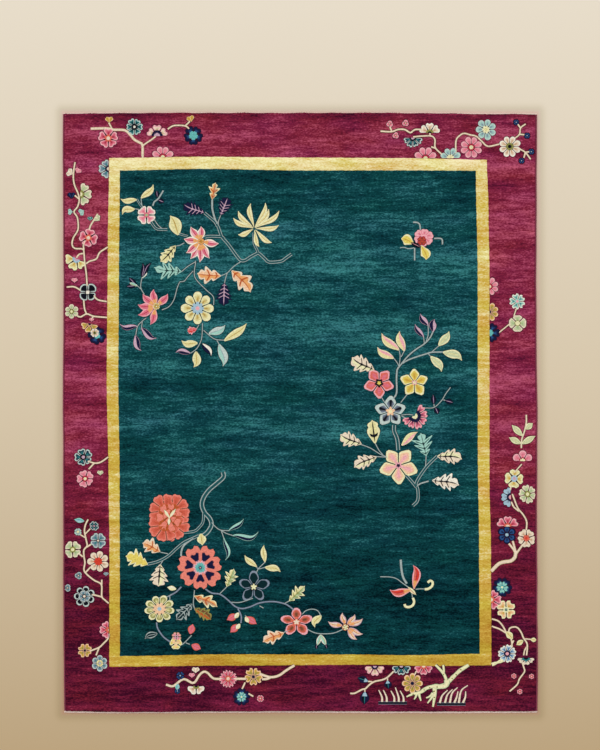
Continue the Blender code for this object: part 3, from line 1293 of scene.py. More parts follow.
@dataclass(frozen=True)
class Stem:
    """A stem: a line of yarn through its own points, two-toned where rim is given, cut in beside with painted
    shade.

    Points and width are in squares of the cartoon, and taper is its width at the far end as a share.
    knobbly is how unevenly wide it is, and core the share of its width that has the inner yarn.
    """

    path: tuple[Spot, ...]
    yarn: Yarn
    width: float = 1.4
    rim: Yarn | None = None
    taper: float = 1.0
    knobbly: float = 0.0
    core: float = 0.42

    STEP = 1.6
    CROWN_MM = 0.6

    def lay(self, inlay: Inlay) -> None:
        """Lays the stem: a strip along a Catmull-Rom curve through its points, crowned across.

        Args:
            inlay: the piece that takes it.
        """
        middle = through(np.array(self.path), self.STEP)
        _, side = directions(middle)
        share = np.linspace(0.0, 1.0, len(middle))
        half = self.width / 2.0 * (1.0 + (self.taper - 1.0) * share)
        if self.knobbly:
            bumps = np.sin(share * 11.0) + np.sin(share * 23.0 + 1.0) + np.sin(share * 41.0 + 2.0)
            half = half * (1.0 + self.knobbly * bumps / 3.0)
        half = half[:, None]
        reach = half * np.array([-1.0, -self.core - 0.1, -self.core, self.core, self.core + 0.1, 1.0])
        near, far = half + inlay.CUT_NEAR, half + inlay.CUT_FAR
        reach = np.concatenate([-far, -near, reach, near, far], axis=1)
        spots = middle[:, None] + side[:, None] * reach[..., None]
        # cut is the painted shade in the cut beside the stem
        edge, core, cut = (self.rim or self.yarn).dye, self.yarn.dye, inlay.painted_cut_shade.dye
        yarn = np.array([cut, cut, edge, edge, core, core, edge, edge, cut, cut])
        heights = self.CROWN_MM * np.array([-0.3, 0.0, 0.4, 0.7, 0.9, 0.9, 0.7, 0.4, 0.0, -0.3])
        inlay.lay(spots[..., 0], spots[..., 1], np.broadcast_to(heights, reach.shape), yarn)


def directions(middle: Array) -> tuple[Array, Array]:
    """The unit vectors along a line of points and across it."""
    along = np.gradient(middle, axis=0)
    along = along / np.maximum(np.hypot(along[:, 0], along[:, 1]), 1e-6)[:, None]
    return along, np.stack([along[:, 1], -along[:, 0]], axis=1)


def through(points: Array, step: float) -> Array:
    """Points about a step apart on a smooth curve through given ones.

    Between two of them the curve is the Catmull-Rom cubic of those two and their neighbours.

    Args:
        points: the given points, in order.
        step: the spacing.
    Returns:
        The curve's points.
    """
    if len(points) == 2:
        points = np.array([points[0], points.mean(axis=0), points[1]])
    padded = np.concatenate([[2.0 * points[0] - points[1]], points, [2.0 * points[-1] - points[-2]]])
    runs = []
    for before, first, after, beyond in zip(padded, padded[1:], padded[2:], padded[3:]):
        count = max(2, int(np.hypot(*(after - first)) / step))
        t = np.linspace(0.0, 1.0, count, endpoint=False)[:, None]
        square = (2.0 * before - 5.0 * first + 4.0 * after - beyond) * t**2
        cube = (3.0 * first - before - 3.0 * after + beyond) * t**3
        runs.append(0.5 * (2.0 * first + (after - before) * t + square + cube))
    return np.concatenate([*runs, points[-1:]])


@dataclass(frozen=True)
class Petals:
    """A lily or chrysanthemum: long petals from one heart to their own tips."""

    heart: Spot
    tips: tuple[Spot, ...]
    width: float
    dress: LeafDress
    bend: float = 0.0
    start: float = 0.12

    def lay(self, inlay: Inlay) -> None:
        """Lays each petal as a leaf that starts a share of the way out from the heart."""
        heart = np.array(self.heart)
        for tip in self.tips:
            base = heart + self.start * (np.array(tip) - heart)
            sway = self.bend * (-1.0 if tip[0] > self.heart[0] else 1.0)
            Leaf((float(base[0]), float(base[1])), tip, self.width, self.dress, sway).lay(inlay)


Motif = Flower | Leaf | Stem | Petals


@dataclass(frozen=True)
class Spray:
    """One group of motifs, laid in order and joined into one piece."""

    name: str
    painted_cut_shade: Yarn
    motifs: tuple[Motif, ...]

    def build(self, ground: Ground, wool: bpy.types.Material) -> bpy.types.Object:
        """Lays every motif and joins them.

        Args:
            ground: the pile that they lie in.
            wool: their material.
        Returns:
            The piece.
        """
        inlay = Inlay(self.name, ground, self.painted_cut_shade)
        for motif in self.motifs:
            motif.lay(inlay)
        return inlay.build(wool)


# Yarns of the flowers: outline, petals, their inner half, ring, heart
SHELL = Dress.of("IVORY PINK ROSE ROSE LEAF")
PEONY = Dress.of("SALMON CORAL TERRACOTTA RUST RUST")
PEONY_HEART = Dress.of("RUST SALMON SALMON CORAL RUST")
CORAL_BLOOM = Dress.of("PINK CORAL BROWN CORAL CREAM")
ROSY = Dress.of("PINK ROSE CRIMSON CORAL CREAM")
PINKISH = Dress.of("PINK BLUSH ROSE CRIMSON STRAW")
GILT = Dress.of("PEACH GOLD OLIVE TAN NAVY")
GILDED_PEACH = Dress.of("STRAW PEACH GOLD STRAW LEAF")
CREAMY = Dress.of("IVORY CREAM TAN OLIVE INK")
BUTTERY = Dress.of("STRAW WHEAT GOLD SKY LILAC")
SAGEY = Dress.of("CREAM SAGE LEAF OLIVE STRAW")
FERN = Dress.of("FROST TEAL INK INK IVORY")
FERN_EDGED = Dress.of("CREAM CREAM TEAL TEAL INK")
MAGNOLIA = Dress.of("PINK CREAM TAN NAVY LILAC")
CARNATION = Dress.of("CREAM CREAM TAN CORAL VERMILION")
MIDNIGHT = Dress.of("NAVY NAVY BLUE AQUA AQUA")
MIDNIGHT_EDGED = Dress.of("FROST NAVY TEAL INK LILAC")
ULTRAMARINE = Dress.of("NAVY BLUE NAVY NAVY SKY")
TURQUOISE = Dress.of("AQUA MINT AQUA AQUA STRAW")
STEEL = Dress.of("FROST SLATE TEAL NAVY CREAM")
SKYLIT = Dress.of("FROST MINT SLATE STRAW WHEAT")
PERIWINKLE = Dress.of("IVORY SKY BLUE NAVY PINK")
GLACIER = Dress.of("IVORY MINT TEAL MINT PINK")
GLACIER_DEEP = Dress.of("SKY SKY SLATE NAVY PINK")
MAGPIE = Dress.of("FROST INK INK INK IVORY")
BUTTER = Dress.of("STRAW WHEAT HONEY SKY PINK")

# Yarns and cut of the leaves: outline, halves, veins
STRAW_LEAF = LeafDress.of("STRAW WHEAT WHEAT HONEY")
WAXEN_PETAL = LeafDress.of("STRAW STRAW WHEAT GOLD", outline=0.6, spine=0.1, fullness=1.5)
TOOTHED_LEAF = LeafDress.of("STRAW WHEAT WHEAT INK", lobes=3, depth=0.4, lean=0.61, spine=0.12)
MINT_FROND = LeafDress.of("MINT MINT MINT DEEP_TEAL", lobes=3, depth=0.8, lean=0.61, spine=0.08)
MAPLE_LEAF = LeafDress.of("CREAM PEACH APRICOT RUST", lobes=2, depth=0.55, lean=0.5, spine=0.08)
FLAME_LEAF = LeafDress.of("STRAW TAN APRICOT RUST", lobes=2, depth=0.7, lean=0.72)
NAVY_FROND = LeafDress.of("NAVY NAVY NAVY LILAC", lobes=4, depth=0.5, lean=0.55, spine=0.1)
LILY_PETAL = LeafDress.of("PINK ROSE ROSE CRIMSON", flush=Yarn.APRICOT)
ROSE_PETAL = LeafDress.of("IVORY ROSE PINK CRIMSON", flush=Yarn.APRICOT)
DUSK_LEAF = LeafDress.of("LILAC LILAC NAVY NAVY", outline=0.92, spine=0.05)
NIGHT_LEAF = LeafDress.of("INK NAVY IVORY INK", outline=0.92, spine=0.05)
MINT_LEAF = LeafDress.of("FROST MINT FROST SLATE", outline=0.85, spine=0.06)
NIGHT_BUD = LeafDress.of("INK NAVY NAVY LILAC")
MINT_CALYX = LeafDress.of("IVORY MINT LEAF MINT")
GILT_LEAF = LeafDress.of("STRAW YELLOW YELLOW YELLOW", lobes=3, depth=0.55, lean=0.55)
SLIT_LEAF = LeafDress.of("CREAM CREAM STRAW INK", lobes=3, depth=0.45, lean=0.55, spine=0.12)
ASH_LEAF = LeafDress.of("STRAW WHEAT WHEAT INK", lobes=1, depth=0.3, lean=0.44, spine=0.12)
BONE_LEAF = LeafDress.of("IVORY CREAM IVORY INK", lobes=3, depth=0.55, lean=0.55, spine=0.12)
SPRIG_LEAF = LeafDress.of("STRAW LEAF WHEAT OLIVE", lobes=3, depth=0.7, lean=0.55, spine=0.1)
RUSSET_LEAF = LeafDress.of("OLIVE RUST BROWN OLIVE", lobes=3, depth=0.5, lean=0.55)
GREY_FROND = LeafDress.of("ASH DEEP_TEAL DEEP_TEAL ASH", lobes=3, depth=0.6, lean=0.55)
FROST_LEAF = LeafDress.of("MINT NAVY MINT INK", outline=0.88, spine=0.05)
PALE_LEAF = LeafDress.of("STRAW IVORY STRAW WHEAT")
HOLLOW_LEAF = LeafDress.of("ASH DEEP_TEAL DEEP_TEAL ASH")
SAGE_LEAF = LeafDress.of("STRAW SAGE SAGE WHEAT")
SUNRISE_LEAF = LeafDress.of("STRAW PINK WHEAT PEACH", outline=0.75)
BLUSH_PETAL = LeafDress.of("LILAC CREAM PEACH RUST", flush=Yarn.APRICOT, fullness=0.9)
GILT_WING = LeafDress.of("STRAW YELLOW YELLOW GOLD", fullness=1.5)
WING = LeafDress.of("PINK VERMILION CORAL CRIMSON", flush=Yarn.APRICOT, fullness=1.2)
AQUA_LEAF = LeafDress.of("MINT AQUA SKY AQUA")
NIGHT_BUD_EDGED = LeafDress.of("NAVY INK NAVY TEAL", flush=Yarn.SKY)
ROSE_BUD = LeafDress.of("CORAL ROSE ROSE CORAL")
RED_BUD = LeafDress.of("PINK CORAL VERMILION ROSE", lobes=2, depth=0.4, lean=0.5)


def twig(*path: Spot, width: float = 0.7, yarn: Yarn = Yarn.ASH) -> Stem:
    """A thin stem of the field in one pale yarn."""
    return Stem(path, yarn, width=width)


def bough(*path: Spot, width: float = 2.6) -> Stem:
    """A thicker stem of the field: two pale lines with the ground's deep yarn between them."""
    return Stem(path, Yarn.LAGOON, width=width, rim=Yarn.ASH, core=0.55)


def high_left_spray() -> Spray:
    """The spray in the field's high left corner: chrysanthemum, two lilies and many leaves."""
    stems = (
        bough((216, 222), (219, 229), (222, 237), (228, 244), (235.8, 254.7), (240.7, 260.5),
            (245.2, 260.5), (250, 257.4), (255.9, 254.2), (259, 253.6), (265.7, 259.6), (269.3, 262.3),
            (280.9, 261.4), (285.8, 258.3), (291.6, 254.2), width=2.8),
        bough((253.8, 233), (254, 243), (257, 250), (258.5, 254), width=2.2),
        bough((205, 237.6), (208, 236.5), (221, 236.8), (224, 239)),
        bough((204.6, 213), (215, 222), (217, 226)),
        twig((212.3, 200), (212.3, 207), (213, 212), (215, 219), (217, 224), width=1.6),
        twig((220.8, 215.5), (218.6, 221), (218.5, 226)),
        bough((151, 222), (154.5, 227), (158, 229.4), (167.5, 229.6), width=2.4),
        twig((154, 219), (158, 225), (162, 228.6)), bough((179, 234), (183, 235), (188, 236.5), width=2),
        twig((184.5, 243), (180, 245.5), (176.5, 246)),
        twig((153, 206), (154.5, 202), (158, 199.5), (161, 195), (163.5, 190.8), width=1.3),
        bough((137, 199.5), (140.5, 205), (144, 209), width=1.8),
        twig((141.3, 198.5), (141.8, 204), (143, 208)), twig((134.8, 209), (138.5, 209.5), (142, 211)),
        twig((195.5, 261), (195.7, 263), (194.9, 277), (205.2, 289), (213.3, 296.7), (213.7, 305)),
        twig((195.5, 262), (188, 266.5), (181.8, 271.7)),
        twig((193.3, 271), (187.5, 277.4), (184.3, 281.3), (179.9, 281.9)),
        twig((179.9, 281.9), (177.3, 288.3), (174.1, 299.7), (169, 306.8), (162, 310)),
        twig((241.2, 261.5), (233.6, 266.8), (227.4, 273), (221, 276)),
        twig((227.4, 273), (225.5, 279), (224.5, 284)),
        twig((144.5, 294.5), (141, 288), (141.5, 281), (142.5, 277.5)), twig((141, 289), (137, 285.5)),
        twig((146.5, 318), (142.2, 321.4), (137.8, 326.5), (136, 335)),
        twig((142.5, 321.5), (141.6, 328.5)),
        twig((202.6, 323.4), (202.2, 335), (201, 341), (196.8, 348.7), (190.7, 353.3)),
        twig((203.7, 330.3), (210.6, 336.4), (216, 339.5), (225.1, 340.3)),
        twig((199, 325), (196.8, 328.8)), twig((217, 340.5), (219.6, 345)),
    )
    leaves = (
        Leaf((137, 200), (120.8, 199), 5.4, STRAW_LEAF, 0.12),
        Leaf((141.3, 198.4), (153.4, 184.8), 6.2, STRAW_LEAF, -0.12),
        Leaf((134.8, 209), (122.6, 214.8), 6.4, STRAW_LEAF, -0.25),
        Leaf((178.7, 235), (170.3, 216), 12.5, STRAW_LEAF, -0.06),
        Leaf((176, 245.8), (160.8, 261.6), 13.5, TOOTHED_LEAF, 0.04),
        Leaf((204.4, 213), (183.8, 204.4), 15, NAVY_FROND, 0.05),
        Leaf((212.2, 200), (215.5, 183), 12, FLAME_LEAF),
        Leaf((220.8, 215.4), (227.8, 198), 15.5, NAVY_FROND),
        Leaf((182, 271.8), (154.2, 267.4), 19, MINT_FROND, 0.05),
        Leaf((221, 276), (197.4, 273.6), 18, MAPLE_LEAF, 0.03),
        Leaf((231.8, 270.6), (250.6, 292.4), 19, MAPLE_LEAF, 0.06),
        Leaf((224.5, 283), (223.7, 305.6), 16, NAVY_FROND),
        Leaf((137.2, 326.4), (120.2, 324.2), 5, DUSK_LEAF, 0.16),
        Leaf((135.6, 335.6), (141.4, 350.6), 6.4, DUSK_LEAF, -0.12),
        Leaf((141.6, 328.2), (156.6, 338.2), 6, DUSK_LEAF, -0.14),
        Leaf((209, 334), (225.2, 325.2), 7.6, MINT_LEAF, -0.1),
        Leaf((224.4, 340.8), (246.6, 323.6), 7.6, STRAW_LEAF, -0.06),
        Leaf((197.6, 343.4), (181.8, 340.6), 7.2, STRAW_LEAF, 0.15),
        Leaf((190.4, 353), (176, 352.4), 5.4, DUSK_LEAF, -0.1),
        Leaf((196.4, 351.6), (193.8, 367.2), 8.4, STRAW_LEAF, 0.14),
        Leaf((202.2, 343.6), (211.2, 356.2), 6.4, NIGHT_LEAF, 0.1),
        Leaf((219.4, 344.4), (223, 366.2), 8.6, MINT_LEAF, 0.12),
        Leaf((157.6, 197.2), (156.8, 190.8), 3.6, NIGHT_BUD),
        Leaf((158.4, 200), (164.2, 202.6), 4.6, NIGHT_BUD),
        Leaf((142.4, 277.4), (142.6, 263.4), 4.2, NIGHT_BUD, -0.1),
        Leaf((142.6, 277), (151.4, 263.4), 4.4, NIGHT_BUD, 0.1),
        Leaf((142.4, 278), (146.6, 268.6), 5.2, MINT_CALYX),
        Leaf((136.6, 285.4), (129.2, 277.6), 4.4, NIGHT_BUD),
        Leaf((136.6, 285.6), (126.8, 286.6), 4.4, NIGHT_BUD),
        Leaf((137, 285.8), (130, 283), 5, MINT_CALYX), Leaf((197, 329), (187.8, 331.4), 8.4, RED_BUD),
    )
    lily_tips = ((191, 227), (201, 226.6), (184, 239), (186.4, 253), (190.6, 259), (199.8, 262.4),
                 (209.6, 258.4), (218.8, 243.6))
    drooping_tips = ((154, 289.4), (143.2, 294), (138.2, 304.8), (138.2, 315), (150.4, 324.6), (167.8, 294))
    wax_tips = ((233.4, 218.2), (238.4, 211.2), (250.8, 203.8), (265.4, 203.2), (268.8, 209.4), (279.2, 211),
                (278.8, 225.4), (271.8, 242.8), (259.2, 246.8), (238.2, 234.8))
    flowers = (
        Petals((200.6, 241.6), lily_tips, 7.6, ROSE_PETAL, 0.05),
        Flower((201, 241.6), 3.4, Dress.of("APRICOT APRICOT GOLD GOLD RUST"), petals=6, raised=0.8),
        Petals((156, 307), drooping_tips, 7, LILY_PETAL, 0.08),
        Flower((156.6, 306.4), 3.6, Dress.of("STRAW GOLD GOLD HONEY STRAW"), raised=0.8),
        Petals((254.2, 229.2), wax_tips, 4.9, WAXEN_PETAL, 0.1, start=0.06),
        Flower((146.8, 215.2), 10.2, SHELL, petals=4, turn=0, heart=0.16, ring=0.3),
        Flower((197.7, 308.4), 16.4, BUTTER, 8, Bloom.ROUND, turn=-22.5, heart=0.14, ring=0.4, rim=0.84),
    )
    return Spray("high_left_spray", Yarn.DEEP_TEAL, stems + leaves + flowers)


def low_left_spray() -> Spray:
    """The spray in the field's low left part: peony, large coral flower, and what hangs from them."""
    stems = (
        bough((223, 472), (223.5, 477), (216.5, 483.5), (209.5, 489.5), (204, 497), (202, 504.5),
            (204.5, 512), (210, 518.5), (211.5, 525), (207.5, 532), (203, 535.5), width=4.2),
        bough((203.8, 513), (203, 522), (199, 527.5), (194.5, 531), (184, 532.6), width=2.4),
        bough((199, 535.4), (192, 538.5), (184, 542.3), (177, 548), (168, 556), (158, 561.3),
            (147.5, 564)),
        twig((193.5, 537.7), (184.3, 545), (181.4, 551.5), (181.4, 556), width=1.6),
        twig((163.6, 559.5), (160.5, 564.5)), twig((168, 553.5), (160.5, 552)),
        twig((211.8, 522.2), (214, 525), (220, 529.7), (229, 530.5)),
        twig((220, 529.5), (226, 533), (233.5, 535.5)), twig((221.5, 531), (224, 538)),
        twig((265.2, 561.8), (258.3, 568.7), (256, 574.5)),
        twig((265.5, 567), (258.3, 568.7), (256.6, 566)),
        *(Stem(path, Yarn.SLATE, width=1.2) for path in (((205.5, 588.8), (212, 592.8), (220, 594),
            (228, 599.7), (235, 606), (242, 608.3), (250, 606.6), (260, 602.6), (272.5, 601.3),
            (284, 603.3), (290, 606.5), (295, 611)), ((238, 608.3), (241.3, 615.8), (241, 622.7)),
            ((181.5, 586.5), (176.3, 591.7), (168.2, 596.3)), ((156.7, 622), (158, 628.4), (163.6, 636.5),
            (170.5, 641.6)))),
        twig((231.4, 602), (240.5, 602), (253, 598)), twig((259.5, 605.5), (263.5, 607.8)),
        twig((219.9, 593.4), (227, 586.5)), twig((245.1, 615.2), (247.2, 617)),
        twig((170, 596), (170, 603)), twig((182, 644.5), (185.4, 641.6), (191.8, 635)),
        twig((186, 642.5), (190, 644)), twig((194.6, 590), (193.5, 603), (195.2, 610)),
        twig((172, 594), (166, 597), (157.5, 597.6)), twig((284, 603.6), (289.3, 600.6)),
        twig((284, 632), (289.5, 630)),
        twig((302.3, 614), (305.7, 610.5), (312, 608.8), (317.8, 610.5), (321, 616)),
        twig((306.5, 628.5), (314.3, 632.3), (322.4, 633.5), (333.8, 632.7), (344, 628.5)),
    )
    leaves = (
        Leaf((201, 533.5), (202.6, 545), 9, STRAW_LEAF),
        Leaf((160.4, 551.4), (142.8, 543), 17, MAPLE_LEAF, -0.05),
        Leaf((148, 564.2), (126, 556), 19, GILT_LEAF, -0.05),
        Leaf((160.4, 564), (158.6, 586), 19, SLIT_LEAF),
        Leaf((229, 530.4), (243.6, 518.6), 4.5, FROST_LEAF, -0.1),
        Leaf((233, 535.4), (258.4, 531.6), 5.5, FROST_LEAF, -0.2),
        Leaf((224, 538), (225.4, 560), 4.5, FROST_LEAF, 0.16),
        Leaf((256.6, 566.4), (244.8, 555), 5.6, STRAW_LEAF, 0.08),
        Leaf((265, 561.8), (264, 545), 5.6, STRAW_LEAF, 0.06),
        Leaf((265.2, 567), (280.4, 571.6), 6.6, STRAW_LEAF, 0.12),
        Leaf((226.8, 586.6), (234, 568.6), 14, SPRIG_LEAF),
        Leaf((176.3, 588.8), (167.4, 587), 4.6, PALE_LEAF),
        Leaf((157.4, 633), (145.2, 638.4), 6.5, HOLLOW_LEAF, -0.1),
        Leaf((194, 595.6), (217.4, 606.6), 14, FLAME_LEAF, 0.05),
        Leaf((194.6, 608), (211, 619.4), 13, RUSSET_LEAF, 0.06),
        Leaf((192.4, 603.6), (176.6, 619.4), 15, GREY_FROND),
        Leaf((289.2, 600.8), (304.8, 585.8), 14, SPRIG_LEAF),
        Leaf((321, 615), (315, 627), 7, STRAW_LEAF, -0.22),
        Leaf((284, 632.4), (263, 641.6), 15, MAPLE_LEAF, -0.04),
        Leaf((320.6, 634.4), (317, 645.5), 4.2, MINT_CALYX),
        Leaf((320.6, 634.4), (326.2, 645.5), 4.2, MINT_CALYX),
        Leaf((316.6, 644), (316.4, 648.5), 2.6, NIGHT_BUD),
        Leaf((325.6, 644), (327, 648), 2.6, NIGHT_BUD),
    )
    flowers = (
        *(Flower((169.4 + across, 517.4 + down), 17, PEONY, 8, Bloom.SCALLOPED, 8, rim=0.9,
            gap=Yarn.BROWN) for across, down in ((-4.4, -7), (4.4, -7.6), (-4.4, 7.4), (3.8, 7))),
        Flower((169.4, 517.2), 14.6, PEONY_HEART, 7, Bloom.SCALLOPED, squash=1.17, rim=0.9,
            gap=Yarn.BROWN, raised=0.6),
        Flower((169.8, 515.8), 7.6, PEONY_HEART, 5, Bloom.SCALLOPED, squash=1.1, gap=Yarn.BROWN,
            raised=1.1),
        *(Leaf((169.4, 517.6), tip, 2.6, PALE_LEAF, raised=1.6) for tip in ((164.4, 509.6), (176, 508.6),
            (169, 525))),
        Flower((200.4, 567.4), 23, Dress.of("SALMON NAVY NAVY PINK AQUA"), petals=7, turn=-12.9,
            heart=0.25, ring=0.33, rim=0.7, gap=Yarn.SALMON, squash=1.03),
        Flower((200.4, 567.4), 3.4, Dress.of("AQUA AQUA NAVY NAVY PINK"), raised=0.7),
        Flower((159.6, 608.6), 15, Dress.of("STRAW OLIVE WHEAT PEACH SKY"), petals=9, bloom=Bloom.ROUND,
            turn=10, squash=0.9, ring=0.46, heart=0.16),
        Flower((253.8, 586.6), 16, Dress.of("SLATE DEEP_TEAL DEEP_TEAL INK STRAW"), 5, Bloom.POINTED,
            turn=52, heart=0.2, ring=0.3, rim=0.88),
        Flower((296.5, 621.6), 17, CORAL_BLOOM, 5, Bloom.POINTED, turn=54, squash=0.86, heart=0.2),
        Petals((345.6, 626.6), ((328.2, 621.2), (342.6, 612.6), (354.8, 614), (362.6, 618.2),
            (362.8, 633.6), (357, 639.2)), 5.6, BLUSH_PETAL, 0.1, start=0.2),
        Flower((345.4, 627), 3.6, Dress.of("RUST STRAW STRAW STRAW WHEAT"), raised=0.8),
        Flower((176, 643), 6.5, Dress.of("STRAW YELLOW PEACH PEACH WHEAT"), petals=3, turn=210),
        Flower((176.6, 636.4), 5, Dress.of("TAN PINK ROSE LILAC BROWN"), petals=4),
        *(Leaf(base, tip, 7, ROSE_BUD) for base, tip in (((237.4, 614.4), (227, 619.6)), ((238.6, 624.2),
            (230.6, 632)), ((246.2, 616.8), (256.6, 623.6)), ((190.4, 633.6), (193, 623.8)),
            ((191.8, 644.6), (201, 648.6)))),
        *(Leaf(base, tip, 4.2, PALE_LEAF, raised=0.6) for base, tip in (((239, 612.4), (234.6, 618)),
            ((240, 623.6), (236.2, 629)), ((245.4, 616.6), (248.8, 622.4)))),
    )
    return Spray("low_left_spray", Yarn.DEEP_TEAL, stems + leaves + flowers)


def right_spray() -> Spray:
    """The spray that climbs the field's right side, from a double stem to many leaves."""
    stems = (
        bough((412.7, 505.6), (417.6, 500), (417.6, 489), (415.8, 484), (419.4, 476.5), (427, 466),
            (437, 456), width=2.8),
        bough((406, 475), (412.7, 482.6), (416, 487)),
        twig((428.5, 481), (420, 483.6), (416.4, 486.5), width=1.2), twig((426, 455.5), (425.5, 466)),
        bough((394, 425), (394, 431), (397, 439), (398.2, 450), width=3.6),
        twig((375, 443), (378.8, 450), (383, 455)),
        twig((361, 444.4), (370.3, 448), (380, 454), (387, 457)), twig((376, 456.5), (386, 457)),
        twig((401, 415), (408, 414.4), (413, 415)), twig((401.5, 416), (409.5, 420)),
        twig((407.3, 394), (400.6, 402.6)), twig((380.6, 396), (385, 403)),
        twig((392, 400), (396.4, 393), (396.4, 379.5), (397, 370), (399, 366.8), width=1.4),
        twig((399, 366.8), (400, 356.5), (399, 350)), twig((404.2, 351), (401, 357)),
        twig((399, 366.8), (397, 362.6), (393.4, 358)),
        twig((399, 366.8), (407, 357), (415, 350), (424.2, 343.8), (429.7, 338), (433, 331.5), width=1.2),
        twig((424.2, 343.8), (423.5, 336.8)), twig((425.5, 342.5), (428, 335), (428, 325)),
        twig((400.6, 364.4), (408, 360), (417.6, 356.5), (427.3, 353.5), (432, 352.3), (443, 352),
            width=1.2),
        twig((431, 352.5), (438.6, 346)), twig((428, 353.6), (431, 357)),
        twig((424.8, 408), (434, 407.3), (441.8, 400), (445.4, 394), (450.3, 387.4)),
        twig((434, 406.6), (433.4, 400)), twig((443, 399.8), (448, 401)),
    )
    leaves = (
        Leaf((398.8, 350), (381.6, 333.3), 8, SUNRISE_LEAF, 0.1),
        Leaf((404.2, 351), (399.6, 331.4), 8, SUNRISE_LEAF, 0.1),
        Leaf((393.3, 358.3), (377.4, 347.2), 7.4, SUNRISE_LEAF, 0.12),
        Leaf((423.4, 337), (415, 324.4), 5, DUSK_LEAF, 0.08),
        Leaf((427.9, 325.4), (420.4, 314), 6, DUSK_LEAF, 0.1),
        Leaf((432.8, 331.6), (434.4, 319.4), 7, DUSK_LEAF, 0.1),
        Leaf((438.6, 345.8), (448.8, 331.4), 8, SAGE_LEAF, -0.08),
        Leaf((443, 352), (461.6, 360.6), 8.6, SAGE_LEAF, 0.14),
        Leaf((430.8, 356.4), (441.2, 371.6), 8, SAGE_LEAF, 0.12),
        Leaf((374, 370), (352, 357.4), 18, SLIT_LEAF, 0.06), Leaf((375, 443.4), (372, 420), 14, ASH_LEAF),
        Leaf((361.4, 444), (340.4, 434.4), 16, SLIT_LEAF, 0.05),
        Leaf((376.4, 456.6), (354.2, 467.2), 15, SLIT_LEAF, -0.05),
        Leaf((401.6, 445.2), (417.4, 432), 7, SUNRISE_LEAF, 0.06),
        Leaf((426.2, 456), (420.6, 433), 22, MINT_FROND),
        Leaf((437, 456), (461.6, 459), 16, SLIT_LEAF, 0.06),
        Leaf((432, 480.2), (458.8, 485), 18, BONE_LEAF, 0.05),
        Leaf((433.6, 404), (433, 394.6), 4.6, NIGHT_BUD),
        Leaf((435.4, 407.6), (438, 413.8), 5, NIGHT_BUD), Leaf((445, 400.4), (453, 402.6), 5, NIGHT_BUD),
    )
    flowers = (
        Flower((379, 383), 13.6, Dress.of("PINK CORAL ROSE INK YELLOW"), turn=18, bloom=Bloom.TIPPED,
            heart=0.14, ring=0.3),
        Flower((414.4, 382.4), 12.4, Dress.of("STRAW YELLOW GOLD PINK STRAW"), petals=5,
            bloom=Bloom.TIPPED, turn=54, heart=0.12, ring=0.2),
        Flower((390.3, 411.4), 13.6, Dress.of("FROST SLATE INK PEACH STRAW"), turn=54, bloom=Bloom.TIPPED,
            heart=0.14, ring=0.3, rim=0.76),
        Flower((414.6, 416), 13.4, Dress.of("PINK ROSE NAVY NAVY STRAW"), petals=6, opens=Opens.LOW_RIGHT,
            heart=0.24, ring=0.5),
        Flower((398.2, 465.4), 16.8, Dress.of("STRAW PEACH PINK PINK NAVY"), turn=18, bloom=Bloom.TIPPED,
            heart=0.12, ring=0.24, rim=0.86),
    )
    return Spray("right_spray", Yarn.DEEP_TEAL, stems + leaves + flowers)


def butterflies() -> Spray:
    """Two butterflies over the field: wings, body, feelers and tails."""
    cream, tail = Yarn.STRAW, 2.2
    high = (
        twig((414, 248), (408, 248.8), (404, 247.5), (400, 248)),
        twig((414.5, 248), (414.5, 260.5), width=1.2),
        twig((420.3, 230), (419.4, 224.3), (416.3, 222.5), (413, 222.5), width=1.3),
        twig((434, 238.6), (440.4, 238.6), (442.2, 240.6), (442.2, 244.6), width=1.3),
        Leaf((414.2, 244), (401.2, 239), 11, GILT_WING, -0.08),
        Leaf((421.2, 245.4), (425.8, 259.8), 10, GILT_WING, 0.1),
        Flower((423.6, 237.6), 10, Dress.of("PINK PINK ROSE PINK ROSE"), 6,
            Bloom.SCALLOPED, -9, squash=0.9, gap=Yarn.ROSE),
        Flower((421.8, 241), 4.8, Dress.of("CRIMSON RUST CRIMSON RUST CRIMSON"), 4,
            raised=0.8),
        Leaf((410.6, 242.6), (420.6, 247.4), 4, LeafDress.of("INK INK INK PINK")),
    )
    low = (
        Stem(((406.7, 583.4), (403.2, 577.4), (401.3, 569), (400.6, 559.4)), Yarn.ASH, width=1.9),
        twig((408.3, 587), (402, 582.5), (396.8, 578.7), (390.4, 576.8), (380.2, 576.5)),
        twig((415.5, 589), (420, 588.6), (425, 588.8)),
        Stem(((424.6, 589), (428, 588.6), (431.9, 585.7), (432.5, 582), (430, 580.4), (427.6, 582.4)), cream,
            width=tail),
        twig((411.6, 592), (412.4, 598)),
        Stem(((412.7, 597.6), (414, 601.2), (412.7, 604.9), (409, 606.8), (405.4, 606.2), (404.4, 603.8)),
            cream, width=tail),
        Leaf((414, 588.6), (413, 565), 8, WING, -0.14), Leaf((411.4, 590), (389.8, 589.6), 8, WING, 0.14),
        Leaf((408, 587), (416, 594.6), 3.6, LeafDress(cream, Yarn.PEACH, cream, Yarn.INK)),
    )
    return Spray("butterflies", Yarn.DEEP_TEAL, high + low)


def vine(*path: Spot, width: float = 1.5) -> Stem:
    """A stem of the border: cream, shaded by a darker line along each side."""
    return Stem(path, Yarn.CREAM, width=width, rim=Yarn.BISCUIT, core=0.6)


def heart_bud(x: float, y: float, size: float, dress: Dress, turn: float = 0.0) -> Petals:
    """A small heart-shaped bud: two blunt petals that open upwards from one foot, turned in degrees."""
    angles = np.radians(90.0 + turn + np.array([-24.0, 24.0]))
    foot = (x - 0.6 * size * np.cos(angles.mean()), y + 0.6 * size * np.sin(angles.mean()))
    tips = tuple((foot[0] + 1.4 * size * np.cos(a), foot[1] - 1.4 * size * np.sin(a)) for a in angles)
    cut = LeafDress(dress.rim, dress.body, dress.body, dress.flush, outline=0.7, fullness=1.9)
    return Petals(foot, tips, 0.95 * size, cut, start=0.0)


